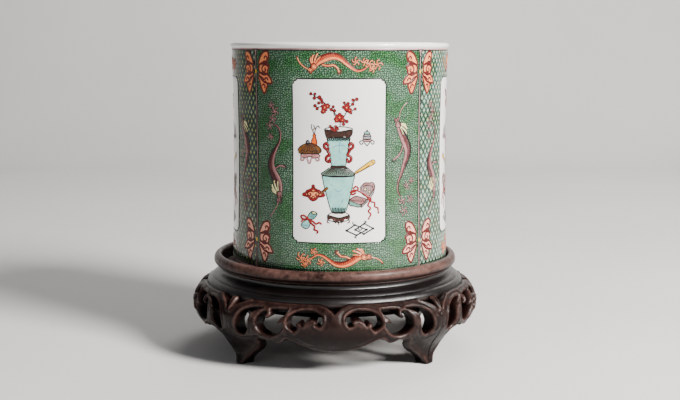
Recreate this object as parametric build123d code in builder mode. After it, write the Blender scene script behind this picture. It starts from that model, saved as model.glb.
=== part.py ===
"""Porcelain brush pot on a carved hardwood stand.

Millimetres, +Z up.  The origin is on the stand's axis, at the level that its feet stand on.
The front is -Y.  Angles of the carving are degrees from the middle of a quarter, seen from outside.
"""
from build123d import *
from math import cos, radians, sin
import os

# --- driving dimensions: the pot -------------------------------------------------------------
POT_X = 4.0             # the pot stands a little off the stand's axis
POT_Z = 66.0            # level of its foot, which is the top of the seat board
POT_TOP = 246.0
LIP_R = 88.0
LIP_H = 4.6             # height of the rolled white lip
WAIST_R = 85.8          # at the middle of the body
BELLY_R = 87.3          # at the bottom of the decoration
SHOULDER_R = 86.3       # just below the lip
BORE_R = 79.0
FLOOR_Z = 73.0          # inside bottom of the pot
FLOOR_FILLET = 7.0
FOOT_OUT_R = 84.0
FOOT_IN_R = 62.0
FOOT_RECESS = 3.0
FOOT_BEVEL = 3.5        # height of the bevel outside the foot
FOOT_SLOPE = 1.5        # lean of the recess's side wall
# outer wall between the foot's bevel and the lip, as (radius, height)
WALL = [(BELLY_R, 82.0), (WAIST_R + 0.4, 112.0), (WAIST_R, 155.0), (WAIST_R + 0.1, 200.0)]
# the lip's crown, from the outside to the bore
LIP_CROWN = [(LIP_R, POT_TOP - 2.2), (LIP_R - 1.6, POT_TOP - 0.3), (LIP_R - 4.2, POT_TOP),
             (BORE_R + 1.2, POT_TOP - 0.9), (BORE_R, POT_TOP - 4.0)]

# --- driving dimensions: the stand -----------------------------------------------------------
RIM_TOP = 76.5
RIM_R = 98.9            # widest part of the bead
DISH_R = 92.5           # inner wall of the bead
RIM_BOTTOM = 58.0
RIM_BOTTOM_R = 100.6    # the rim spreads below its cove to meet the cushion moulding
SPREAD = [(RIM_BOTTOM_R, RIM_BOTTOM), (98.0, 60.2), (94.7, 61.9)]
COVE = [(94.7, 61.9), (93.4, 64.0), (95.0, 66.2)]
FILLET = [(95.0, 66.2), (96.2, 66.6), (96.2, 67.6)]
BEAD = [(96.2, 67.6), (RIM_R, 71.8), (DISH_R + 2.3, RIM_TOP)]
BEAD_INSIDE = [(DISH_R + 2.3, RIM_TOP), (DISH_R + 0.7, RIM_TOP - 0.6), (DISH_R, RIM_TOP - 2.2)]
LEDGE_R = 82.0
LEDGE_TOP = 61.0
BOARD_GAP = 0.2
BOARD_CHAMFER = 0.6
BATTEN_W = 20.0
BATTEN_L = 158.0
BATTEN_Z = 55.0
BATTEN_CHAMFER = 1.5
DOVETAIL_H = 1.5
DOVETAIL_TOP_W = 16.0
DOVETAIL_LOW_W = 13.0
NECK_R = 104.5          # largest radius of the cushion moulding
NECK_BOTTOM = 50.0
NECK_EDGE = 53.5        # top of its upright edge
CUSHION = [(NECK_R, NECK_EDGE), (103.0, 56.2), (RIM_BOTTOM_R, RIM_BOTTOM)]

# --- driving dimensions: the carved quarters -------------------------------------------------
LEG_ANGLE = 45.0        # the quarters meet on the middle of each leg
JOINT_GAP = 0.02        # degrees left out at each end of a quarter
APRON_TOP = 54.0
LIP_IN_R = 104.8
SHELF_R = 94.0          # inner edge of the top face that carries the moulding
OUT_R = 114.0           # radius at which the carving's angles are laid out
SOLE_IN_R = 92.0
TOE = [(104.6, 1.6), (104.4, 0.5), (103.2, 0.0)]
# face and back of the revolved section, as (radius, height)
FACE = [(LIP_IN_R + 2.0, APRON_TOP), (112.2, 49.5), (115.9, 39.0), (112.4, 25.4), (104.0, 14.2),
        (102.6, 8.0), TOE[0]]
BACK = [(SOLE_IN_R, 0.0), (90.8, 8.0), (94.2, 18.0), (102.2, 28.5), (104.0, 36.6), (101.0, 43.4),
        (SHELF_R, 45.0)]

# the cutting planes: their facing angle from the quarter's middle, and where the cuts start and end
CUT_TO_R = 124.0
CUT_LOW = -5.0
CUT_HIGH = 60.0
NOTCH_FROM_R = 104.9
SLOT_FACING = 40.0
SLOT_FROM_R = 103.4
CRESCENT_FACING = 11.0
SCROLL_FACING = 24.5
PIERCED_FROM_R = 101.0   # the shelf behind the piercings is left whole
LEG_CRESCENT_FACING = 37.0
LEG_CRESCENT_FROM_R = 97.0
EDGE_FROM_R = 56.0
FOOT_FROM_R = 74.0
FOOT_CUT_W = 60.0

DOWEL_R = 2.0
DOWEL_CIRCLE_R = 99.5
DOWEL_OFF = 4.5         # degrees each side of the leg's middle
DOWEL_LOW = 46.2
DOWEL_HIGH = 55.6
DOWEL_CHAMFER = 0.4
FIT = 0.05

TONGUE_W = 11.0         # across the joint
TONGUE_T = 3.0
TONGUE_R = 107.5
TONGUE_LOW = 27.0
TONGUE_HIGH = 41.0

QUARTERS = {"front": 0, "right": 90, "back": 180, "left": 270}
LEGS = {"front_right": 45, "back_right": 135, "back_left": 225, "front_left": 315}

os.makedirs("parts", exist_ok=True)


def save(piece, label):
    """Label a finished piece and write its STEP file."""
    piece.label = label
    export_step(piece, f"parts/{label}.step")


def outward(angle):
    """Upright plane through the axis, facing outward at an angle from the front."""
    facing = (sin(radians(angle)), -cos(radians(angle)), 0)
    along = (cos(radians(angle)), sin(radians(angle)), 0)
    return Plane(origin=(0, 0, 0), x_dir=along, z_dir=facing)


def laid_out(middle, points):
    """Points given as (degrees, height), laid flat on the plane that faces a middle angle."""
    return [(radians(a - middle) * OUT_R, z) for a, z in points]


# --- the porcelain pot -----------------------------------------------------------------------
with BuildPart() as brush_pot:
    with BuildSketch(Plane.XZ) as pot_section:
        with BuildLine():
            foot_edge = (FOOT_OUT_R, POT_Z)
            low_edge = (BELLY_R - 0.3, POT_Z + FOOT_BEVEL)
            neck_in = (SHOULDER_R + 0.3, POT_TOP - LIP_H)
            recess_edge = (FOOT_IN_R - FOOT_SLOPE, POT_Z + FOOT_RECESS)
            floor_high = (BORE_R, FLOOR_Z + FLOOR_FILLET)
            floor_edge = (BORE_R - FLOOR_FILLET, FLOOR_Z)
            Polyline((0, POT_Z + FOOT_RECESS), recess_edge, (FOOT_IN_R, POT_Z), foot_edge, low_edge)
            Spline(low_edge, *WALL, neck_in)
            ThreePointArc(neck_in, LIP_CROWN[0], LIP_CROWN[1])
            ThreePointArc(*LIP_CROWN[1:4])
            Polyline(LIP_CROWN[3], LIP_CROWN[4], floor_high)
            RadiusArc(floor_high, floor_edge, FLOOR_FILLET)
            Line(floor_edge, (0, FLOOR_Z))
            Line((0, FLOOR_Z), (0, POT_Z + FOOT_RECESS))
        make_face()
    revolve(axis=Axis.Z)
save(Pos(POT_X, 0, 0) * brush_pot.part, "brush_pot")

# --- the turned rim with its bead and the ledge for the board --------------------------------
with BuildPart() as seat_rim:
    with BuildSketch(Plane.XZ):
        with BuildLine():
            Line((LEDGE_R, RIM_BOTTOM), SPREAD[0])
            ThreePointArc(*SPREAD)
            ThreePointArc(*COVE)
            Polyline(*FILLET)
            ThreePointArc(*BEAD)
            ThreePointArc(*BEAD_INSIDE)
            Polyline(BEAD_INSIDE[-1], (DISH_R, LEDGE_TOP), (LEDGE_R, LEDGE_TOP), (LEDGE_R, RIM_BOTTOM))
        make_face()
    revolve(axis=Axis.Z)
save(seat_rim.part, "seat_rim")

# --- the board that floors the dish, with a dovetail housing underneath ----------------------
with BuildPart() as seat_board:
    with BuildSketch(Plane.XY.offset(LEDGE_TOP)):
        Circle(DISH_R - BOARD_GAP)
    extrude(amount=POT_Z - LEDGE_TOP)
    chamfer(seat_board.edges().filter_by(GeomType.CIRCLE).sort_by(Axis.Z)[-1], BOARD_CHAMFER)
    with BuildSketch(Plane.YZ.offset(-BATTEN_L / 2)):
        with BuildLine():
            Polyline((-DOVETAIL_LOW_W / 2, LEDGE_TOP), (DOVETAIL_LOW_W / 2, LEDGE_TOP),
                     (DOVETAIL_TOP_W / 2, LEDGE_TOP + DOVETAIL_H),
                     (-DOVETAIL_TOP_W / 2, LEDGE_TOP + DOVETAIL_H), close=True)
        make_face()
    extrude(amount=BATTEN_L, mode=Mode.SUBTRACT)
save(seat_board.part, "seat_board")

with BuildPart() as board_batten:
    with BuildSketch(Plane.YZ.offset(-BATTEN_L / 2)):
        with BuildLine():
            Polyline((-BATTEN_W / 2, LEDGE_TOP), (-BATTEN_W / 2, BATTEN_Z),
                     (BATTEN_W / 2, BATTEN_Z), (BATTEN_W / 2, LEDGE_TOP),
                     (DOVETAIL_LOW_W / 2, LEDGE_TOP),
                     (DOVETAIL_TOP_W / 2, LEDGE_TOP + DOVETAIL_H),
                     (-DOVETAIL_TOP_W / 2, LEDGE_TOP + DOVETAIL_H),
                     (-DOVETAIL_LOW_W / 2, LEDGE_TOP), close=True)
        make_face()
    extrude(amount=BATTEN_L)
    chamfer(board_batten.edges().filter_by(Axis.X).group_by(Axis.Z)[0], BATTEN_CHAMFER)
save(board_batten.part, "board_batten")

# --- the cushion moulding between the rim and the carving ------------------------------------
dowel_spots = [leg + side * DOWEL_OFF for leg in LEGS.values() for side in (-1, 1)]
dowel_places = [(DOWEL_CIRCLE_R * sin(radians(a)), -DOWEL_CIRCLE_R * cos(radians(a)))
                for a in dowel_spots]

with BuildPart() as neck_moulding:
    with BuildSketch(Plane.XZ):
        with BuildLine():
            Polyline((LEDGE_R, NECK_BOTTOM), (NECK_R, NECK_BOTTOM), CUSHION[0])
            ThreePointArc(*CUSHION)
            Polyline(CUSHION[-1], (LEDGE_R, RIM_BOTTOM), (LEDGE_R, NECK_BOTTOM))
        make_face()
    revolve(axis=Axis.Z)
    with BuildSketch(Plane.XY.offset(NECK_BOTTOM)):
        with Locations(*dowel_places):
            Circle(DOWEL_R + FIT)
    extrude(amount=DOWEL_HIGH + FIT - NECK_BOTTOM, mode=Mode.SUBTRACT)
save(neck_moulding.part, "neck_moulding")

# --- one carved quarter: half a leg at each end and the pierced apron between ----------------
NOTCH = [(-5.4, CUT_HIGH), (-4.4, APRON_TOP - 0.8), (-1.9, 51.3), (0, 48.0),
         (1.9, 51.3), (4.4, APRON_TOP - 0.8), (5.4, CUT_HIGH)]
LEG_SLOT_TOP = [(36.0, CUT_HIGH), (43.3, CUT_HIGH), (43.4, 52.0), (44.1, 45.4)]
LEG_SLOT_EDGE = [(44.1, 45.4), (41.9, 49.8), (38.6, 52.4), (36.0, 53.6)]
CRESCENT_OUTER = [(5.6, 39.3), (4.5, 45.0), (9.0, 50.3), (15.6, 48.2), (17.8, 41.6), (15.2, 35.1)]
CRESCENT_CUSP = [(15.2, 35.1), (14.4, 38.6), (11.9, 39.5)]
CRESCENT_ARCH = [(11.9, 39.5), (9.0, 44.2), (5.6, 39.3)]
SCROLL_ROUND = [(17.9, 50.2), (20.0, 40.0), (24.8, 29.6), (30.8, 39.8), (26.6, 49.6)]
SCROLL_HOOK = [(26.6, 49.6), (25.9, 47.4), (26.6, 43.8)]
SCROLL_BACK = [(26.6, 43.8), (24.5, 46.4), (24.2, 50.0)]
LEG_CRESCENT_OUTER = [(32.2, 49.2), (38.6, 45.0), (41.0, 34.5), (39.3, 26.4)]
LEG_CRESCENT_INNER = [(39.3, 26.4), (35.2, 33.6), (34.2, 43.0), (32.2, 49.2)]

# lower outline of the apron seen from the front, from its middle lobe to the leg, as (x, height)
LOBE = [(0, 17.6), (11, 18.6), (20, 23.0)]
LOBE_STEP = [(20, 23.0), (28, 27.6), (36.4, 27.9)]
CUSP_BAY = [(36.4, 27.9), (42, 22.4), (49.6, 25.0)]
LEG_BAY = [(49.6, 25.0), (55.4, 25.4), (58.4, 21.5)]
# side of a foot, seen along the leg's middle, as (distance from the middle, height)
FOOT_SIDE = [(23.6, 21.0), (20.4, 14.8), (8.6, 6.6), (4.2, 0.0)]

with BuildPart() as quarter:
    with BuildSketch(Plane.XZ.rotated((0, 0, -90 - LEG_ANGLE + JOINT_GAP))):
        with BuildLine():
            Polyline((SHELF_R, NECK_BOTTOM), (LIP_IN_R, NECK_BOTTOM), (LIP_IN_R, APRON_TOP), FACE[0])
            Spline(*FACE)
            ThreePointArc(*TOE)
            Line(TOE[-1], BACK[0])
            Spline(*BACK)
            Line(BACK[-1], (SHELF_R, NECK_BOTTOM))
        make_face()
    revolve(axis=Axis.Z, revolution_arc=2 * (LEG_ANGLE - JOINT_GAP))

    # the V notch in the middle of the top edge
    with BuildSketch(outward(0).offset(NOTCH_FROM_R)):
        with BuildLine():
            Polyline(*laid_out(0, NOTCH), close=True)
        make_face()
    extrude(amount=CUT_TO_R - NOTCH_FROM_R, mode=Mode.SUBTRACT)

    # the piercings, in mirrored pairs
    for side in (-1, 1):
        with BuildSketch(outward(side * SLOT_FACING).offset(SLOT_FROM_R)):
            with BuildLine():
                slot_top = laid_out(SLOT_FACING, LEG_SLOT_TOP)
                slot_edge = laid_out(SLOT_FACING, LEG_SLOT_EDGE)
                Polyline(*[(side * x, z) for x, z in slot_top])
                Spline(*[(side * x, z) for x, z in slot_edge])
                Line((side * slot_edge[-1][0], slot_edge[-1][1]), (side * slot_top[0][0], CUT_HIGH))
            make_face()
        extrude(amount=CUT_TO_R - SLOT_FROM_R, mode=Mode.SUBTRACT)
        with BuildSketch(outward(side * CRESCENT_FACING).offset(PIERCED_FROM_R)):
            with BuildLine():
                for run in (CRESCENT_OUTER, CRESCENT_CUSP, CRESCENT_ARCH):
                    Spline(*[(side * x, z) for x, z in laid_out(CRESCENT_FACING, run)])
            make_face()
        extrude(amount=CUT_TO_R - PIERCED_FROM_R, mode=Mode.SUBTRACT)
        with BuildSketch(outward(side * SCROLL_FACING).offset(PIERCED_FROM_R)):
            with BuildLine():
                for run in (SCROLL_ROUND, SCROLL_HOOK, SCROLL_BACK):
                    Spline(*[(side * x, z) for x, z in laid_out(SCROLL_FACING, run)])
                ends = laid_out(SCROLL_FACING, [SCROLL_BACK[-1], SCROLL_ROUND[0]])
                Line(*[(side * x, z) for x, z in ends])
            make_face()
        extrude(amount=CUT_TO_R - PIERCED_FROM_R, mode=Mode.SUBTRACT)
        with BuildSketch(outward(side * LEG_CRESCENT_FACING).offset(LEG_CRESCENT_FROM_R)):
            with BuildLine():
                for run in (LEG_CRESCENT_OUTER, LEG_CRESCENT_INNER):
                    Spline(*[(side * x, z) for x, z in laid_out(LEG_CRESCENT_FACING, run)])
            make_face()
        extrude(amount=CUT_TO_R - LEG_CRESCENT_FROM_R, mode=Mode.SUBTRACT)

    # the lobed lower edge
    with BuildSketch(outward(0).offset(EDGE_FROM_R)):
        with BuildLine():
            for side in (-1, 1):
                for run in (LOBE, LOBE_STEP, CUSP_BAY, LEG_BAY):
                    ThreePointArc(*[(side * x, z) for x, z in run])
                Line((side * LEG_BAY[-1][0], LEG_BAY[-1][1]), (side * LEG_BAY[-1][0], CUT_LOW))
            Line((-LEG_BAY[-1][0], CUT_LOW), (LEG_BAY[-1][0], CUT_LOW))
        make_face()
    extrude(amount=CUT_TO_R - EDGE_FROM_R, mode=Mode.SUBTRACT)

    # the tapering sides of the two half feet, and the pockets for dowels and tongues
    for side in (-1, 1):
        with BuildSketch(outward(side * LEG_ANGLE).offset(FOOT_FROM_R)):
            with BuildLine():
                foot_side = [(-side * x, z) for x, z in FOOT_SIDE]
                Spline(*foot_side[:3])
                Polyline(foot_side[2], foot_side[3], (foot_side[3][0], CUT_LOW),
                         (-side * FOOT_CUT_W, CUT_LOW), (-side * FOOT_CUT_W, foot_side[0][1]),
                         foot_side[0])
            make_face()
        extrude(amount=CUT_TO_R - FOOT_FROM_R, mode=Mode.SUBTRACT)
        dowel_angle = side * (LEG_ANGLE - DOWEL_OFF)
        with BuildSketch(Plane.XY.offset(DOWEL_LOW - FIT)):
            with Locations((DOWEL_CIRCLE_R * sin(radians(dowel_angle)),
                            -DOWEL_CIRCLE_R * cos(radians(dowel_angle)))):
                Circle(DOWEL_R + FIT)
        extrude(amount=NECK_BOTTOM - DOWEL_LOW + FIT, mode=Mode.SUBTRACT)
        with BuildSketch(outward(side * LEG_ANGLE).offset(TONGUE_R - FIT)):
            with Locations((0, (TONGUE_LOW + TONGUE_HIGH) / 2)):
                Rectangle(TONGUE_W + 2 * FIT, TONGUE_HIGH - TONGUE_LOW + 2 * FIT)
        extrude(amount=TONGUE_T + 2 * FIT, mode=Mode.SUBTRACT)

for name, turn in QUARTERS.items():
    save(Rot(0, 0, turn) * quarter.part, f"carved_quarter_{name}")

# --- loose tongues across the leg joints, and dowels up into the moulding --------------------
for name, angle in LEGS.items():
    with BuildPart() as tongue:
        with BuildSketch(outward(angle).offset(TONGUE_R)):
            with Locations((0, (TONGUE_LOW + TONGUE_HIGH) / 2)):
                Rectangle(TONGUE_W, TONGUE_HIGH - TONGUE_LOW)
        extrude(amount=TONGUE_T)
    save(tongue.part, f"leg_tongue_{name}")

with BuildPart() as dowels:
    with BuildSketch(Plane.XY.offset(DOWEL_LOW)):
        with Locations(*dowel_places):
            Circle(DOWEL_R)
    extrude(amount=DOWEL_HIGH - DOWEL_LOW)
    chamfer(dowels.edges().filter_by(GeomType.CIRCLE), DOWEL_CHAMFER)
save(dowels.part, "moulding_dowels")
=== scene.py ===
"""Looks of the porcelain brush pot and its carved stand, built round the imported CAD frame.

Lengths in this script are millimetres until a mesh is written, in metres, by new_mesh(). Angles
round the upright axis start at the front and grow towards the right.
"""
import math

import bpy
import numpy as np
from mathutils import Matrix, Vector, noise
from mathutils.geometry import delaunay_2d_cdt


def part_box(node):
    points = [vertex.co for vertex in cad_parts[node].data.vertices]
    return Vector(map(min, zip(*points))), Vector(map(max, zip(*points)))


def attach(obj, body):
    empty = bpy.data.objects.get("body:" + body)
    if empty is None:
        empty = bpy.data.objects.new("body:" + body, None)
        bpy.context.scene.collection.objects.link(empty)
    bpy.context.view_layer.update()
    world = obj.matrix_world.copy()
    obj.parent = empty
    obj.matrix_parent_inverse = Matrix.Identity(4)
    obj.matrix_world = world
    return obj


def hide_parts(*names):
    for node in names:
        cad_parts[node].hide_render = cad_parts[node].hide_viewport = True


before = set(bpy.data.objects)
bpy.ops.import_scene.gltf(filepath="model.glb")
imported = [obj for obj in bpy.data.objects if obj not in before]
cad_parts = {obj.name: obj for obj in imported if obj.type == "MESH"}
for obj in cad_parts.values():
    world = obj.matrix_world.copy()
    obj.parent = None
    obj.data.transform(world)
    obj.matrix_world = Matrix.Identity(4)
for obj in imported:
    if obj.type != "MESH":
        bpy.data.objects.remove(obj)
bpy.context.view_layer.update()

MM = 0.001
TINY = 1e-9         # keeps a division by a length from failing


# --- places and sizes from the frame -----------------------------------------------------------
def box_mm(node):
    """Lowest and highest corners of a CAD node in millimetres."""
    low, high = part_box(node)
    return np.array(low) / MM, np.array(high) / MM


pot_low, pot_high = box_mm("brush_pot")
rim_low, rim_high = box_mm("seat_rim")
neck_low, neck_high = box_mm("neck_moulding")
POT_X = (pot_low[0] + pot_high[0]) / 2
POT_FOOT = pot_low[2]
POT_TOP = pot_high[2]
LIP_R = (pot_high[0] - pot_low[0]) / 2
RIM_R = (rim_high[0] - rim_low[0]) / 2
RIM_TOP = rim_high[2]
RIM_LOW = rim_low[2]
NECK_R = (neck_high[0] - neck_low[0]) / 2
NECK_LOW = neck_low[2]


# --- small geometry tools ----------------------------------------------------------------------
def smooth(points, step=0.8, closed=False):
    """A dense run of points through the given ones (Catmull-Rom)."""
    pts = np.asarray(points, float)
    if len(pts) == 2:
        n = max(2, int(np.linalg.norm(pts[1] - pts[0]) / step) + 1)
        return pts[0] + (pts[1] - pts[0]) * np.linspace(0, 1, n)[:, None]
    if closed:
        pts = np.vstack([pts[-1], pts, pts[0], pts[1]])
    else:
        pts = np.vstack([2 * pts[0] - pts[1], pts, 2 * pts[-1] - pts[-2]])
    out = []
    for a, b, c, d in zip(pts[:-3], pts[1:-2], pts[2:-1], pts[3:]):
        n = max(2, int(math.ceil(np.linalg.norm(c - b) / step)))
        t = np.linspace(0, 1, n, endpoint=False)[:, None]
        out.append(0.5 * (2 * b + (c - a) * t + (2 * a - 5 * b + 4 * c - d) * t ** 2
                          + (3 * b - a - 3 * c + d) * t ** 3))
    if not closed:
        out.append(pts[-2][None])
    return np.vstack(out)


def smooth_corners(points, step):
    """A polyline with its corners kept, sampled at a step."""
    parts = []
    for a, b in zip(points[:-1], points[1:]):
        n = max(1, int(np.linalg.norm(b - a) / step))
        parts.append(a + (b - a) * np.linspace(0, 1, n, endpoint=False)[:, None])
    return np.vstack(parts + [points[-1:]])


def shut(loop):
    """A closed loop with its first point repeated at the end."""
    return np.vstack([loop, loop[:1]])


def ring_edges(count, first=0):
    """Index pairs round a closed loop of points."""
    return [(first + i, first + (i + 1) % count) for i in range(count)]


def run_length(points):
    """Distance along a run of points at each of them."""
    return np.concatenate([[0], np.cumsum(np.linalg.norm(np.diff(points, axis=0), axis=1))])


def sideways(points, closed=True):
    """Unit vectors to the left of a run of points."""
    tangent = np.roll(points, -1, 0) - np.roll(points, 1, 0) if closed else np.gradient(points, axis=0)
    tangent /= np.maximum(np.linalg.norm(tangent, axis=1), TINY)[:, None]
    return np.stack([-tangent[:, 1], tangent[:, 0]], 1)


def signed_area(loop):
    """Area of a closed loop, positive when it runs anticlockwise."""
    x, y = loop.T
    return 0.5 * np.sum(x * np.roll(y, -1) - np.roll(x, -1) * y)


def hump(x, middle, spread):
    """A bell curve of height one."""
    return np.exp(-((x - middle) / spread) ** 2)


def near(points, line):
    """Distance from each point to a polyline."""
    a, b = line[:-1], line[1:]
    ab = b - a
    length2 = np.maximum((ab ** 2).sum(1), TINY ** 2)
    best = np.empty(len(points))
    batch = 2000
    for start in range(0, len(points), batch):
        p = points[start:start + batch]
        t = np.clip(((p[:, None] - a[None]) * ab[None]).sum(2) / length2, 0, 1)
        d = np.linalg.norm(p[:, None] - (a[None] + t[..., None] * ab[None]), axis=2)
        best[start:start + batch] = d.min(1)
    return best


def inside(points, loop):
    """Even-odd test of points in a closed loop."""
    x, y = points[:, 0], points[:, 1]
    hit = np.zeros(len(points), bool)
    for (x0, y0), (x1, y1) in zip(loop, np.roll(loop, -1, 0)):
        if y0 != y1:
            hit ^= ((y0 > y) != (y1 > y)) & (x < (x1 - x0) * (y - y0) / (y1 - y0) + x0)
    return hit


def between(points, outline, holes):
    """Which points are inside the outline, if there is one, and outside the holes."""
    ok = np.ones(len(points), bool) if outline is None else inside(points, outline)
    for hole in holes:
        ok &= ~inside(points, hole)
    return ok


def grid_points(xs, ys, stagger=0.0):
    """The points of a grid, with every other row moved along."""
    gx, gy = np.meshgrid(xs, ys)
    gx = gx + (np.arange(len(ys))[:, None] % 2) * stagger
    return np.stack([gx.ravel(), gy.ravel()], 1)


def triangles(points, edges, outline=None, holes=()):
    """Points and anticlockwise triangles that keep the edges, within the outline and off the holes."""
    made = delaunay_2d_cdt([Vector(p) for p in points], edges, [], 0, 1e-5)
    flat = np.array([tuple(v) for v in made[0]])
    tris = np.array(made[2]).reshape(-1, 3)
    tris = tris[between(flat[tris].mean(1), outline, holes)]
    (ax, ay), (bx, by), (cx, cy) = (flat[tris[:, k]].T for k in range(3))
    clockwise = (bx - ax) * (cy - ay) - (by - ay) * (cx - ax) < 0
    tris[clockwise] = tris[clockwise][:, ::-1]
    return flat, tris


def open_edges(tris):
    """Edges with a triangle on one side only, their points, and each point's place among those."""
    sides = dict.fromkeys((t[i], t[(i + 1) % 3]) for t in tris for i in range(3))
    border = [(a, b) for a, b in sides if (b, a) not in sides]
    ids = sorted({i for edge in border for i in edge})
    return border, ids, {v: k for k, v in enumerate(ids)}


def round_axis(r, angle, z, centre_x=0.0):
    """Points from radius, angle and height."""
    return np.stack(np.broadcast_arrays(centre_x + r * np.sin(angle), -r * np.cos(angle), z), -1)


def with_depth(flat, depth=0.0):
    """Flat points with a third coordinate, for the materials."""
    return np.column_stack([flat, np.full(len(flat), depth)])


def new_mesh(name, verts_mm, faces, materials, attributes=None, face_material=None):
    """A mesh object from points in millimetres, with its attributes and materials."""
    mesh = bpy.data.meshes.new(name)
    mesh.from_pydata([tuple(v) for v in np.asarray(verts_mm, float) * MM], [], faces)
    for key, values in (attributes or {}).items():
        values = np.asarray(values, float)
        kind, slot = ("FLOAT", "value") if values.ndim == 1 else ("FLOAT_VECTOR", "vector")
        mesh.attributes.new(key, kind, "POINT").data.foreach_set(slot, values.ravel())
    for material in materials:
        mesh.materials.append(material)
    if face_material is not None:
        mesh.polygons.foreach_set("material_index", np.asarray(face_material, dtype=np.int32))
    mesh.shade_smooth()
    mesh.update()
    obj = bpy.data.objects.new(name, mesh)
    bpy.context.scene.collection.objects.link(obj)
    return obj


TURNED_LAY = 100    # radius at which the grain of a turned piece is laid flat


def lathe(name, profile, materials, centre_x=0.0, segments=360, wobble=None, wear_and_glint=None,
          closed=True, face_material=None):
    """A turned solid: the profile (radius, height) carried round an upright axis."""
    profile = np.asarray(profile, float)
    n = len(profile)
    last = n if closed else n - 1
    angle = (np.arange(segments) * 2 * math.pi / segments)[:, None]
    r, z = (np.repeat(profile[None, :, k], segments, 0) for k in (0, 1))
    if wobble is not None:
        dr, dz = wobble(angle, z)
        r = r + dr * (r > 0.01)
        z = z + dz
    faces = []
    for a, b in ring_edges(segments):
        faces += [(a * n + j, b * n + j, b * n + (j + 1) % n, a * n + (j + 1) % n) for j in range(last)]
    laid = np.stack(np.broadcast_arrays(angle * TURNED_LAY, run_length(profile), 0.0), -1).reshape(-1, 3)
    wear_and_glint = np.tile(np.zeros(n) if wear_and_glint is None else wear_and_glint, segments)
    if face_material is not None:
        face_material = np.tile(face_material[:last], segments)
    return new_mesh(name, round_axis(r, angle, z, centre_x).reshape(-1, 3), faces, materials,
                    {"laid": laid, "wear_and_glint": wear_and_glint}, face_material)


# --- material tools ----------------------------------------------------------------------------
class Shader:
    """A node material under construction."""

    def __init__(self, name):
        self.material = bpy.data.materials.new(name)
        self.material.use_nodes = True
        self.tree = self.material.node_tree
        self.surface = self.tree.nodes["Principled BSDF"]

    def node(self, kind, settings=None, **inputs):
        """Adds a node; an input is a number, a colour or another node's output."""
        made = self.tree.nodes.new("ShaderNode" + kind)
        for key, value in (settings or {}).items():
            setattr(made, key, value)
        for key, value in inputs.items():
            self.put(made.inputs[{"i0": 0, "i1": 1}.get(key, key.replace("_", " "))], value)
        return made

    def put(self, socket, value):
        """Links another node's output to a socket, or sets its value."""
        if isinstance(value, bpy.types.NodeSocket):
            self.tree.links.new(value, socket)
        elif isinstance(value, (tuple, list)) and socket.type == "RGBA" and len(value) == 3:
            socket.default_value = (*value, 1.0)
        else:
            socket.default_value = value

    def attribute(self, name, part="Vector"):
        return self.node("Attribute", {"attribute_name": name}).outputs[part]

    def place(self):
        return self.node("TexCoord").outputs["Object"]

    def scaled(self, vector, scale, shift=(0.0, 0.0, 0.0)):
        return self.node("Mapping", Vector=vector, Scale=scale, Location=shift).outputs[0]

    def noise(self, vector, scale, detail=4.0, rough=0.5, distortion=0.0):
        return self.node("TexNoise", Vector=vector, Scale=scale, Detail=detail, Roughness=rough,
                         Distortion=distortion).outputs["Fac"]

    def math(self, operation, a, b=0.0, clamp=False):
        return self.node("Math", {"operation": operation, "use_clamp": clamp}, i0=a, i1=b).outputs[0]

    def weighted(self, a, share_a, b, share_b):
        return self.math("ADD", self.math("MULTIPLY", a, share_a), self.math("MULTIPLY", b, share_b))

    def ramp(self, fac, *stops):
        """A colour ramp; each stop is (position, colour or grey)."""
        made = self.node("ValToRGB", Fac=fac)
        band = made.color_ramp
        while len(band.elements) < len(stops):
            band.elements.new(0.5)
        for element, (position, colour) in zip(band.elements, stops):
            element.position = position
            element.color = (*colour, 1.0) if isinstance(colour, tuple) else (colour,) * 3 + (1.0,)
        return made.outputs["Color"]

    def mix(self, fac, a, b):
        """Mixes two colours, by the sockets that the Mix node keeps for colours."""
        made = self.node("Mix", {"data_type": "RGBA"})
        for socket, value in ((0, fac), (6, a), (7, b)):
            self.put(made.inputs[socket], value)
        return made.outputs[2]

    def bump(self, height, strength, distance, normal=None):
        made = self.node("Bump", Height=height, Strength=strength, Distance=distance)
        if normal is not None:
            self.put(made.inputs["Normal"], normal)
        return made.outputs[0]

    def finish(self, **sockets):
        """Sets the surface shader's own sockets and returns the material."""
        for key, value in sockets.items():
            self.put(self.surface.inputs[key.replace("_", " ")], value)
        return self.material


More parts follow.
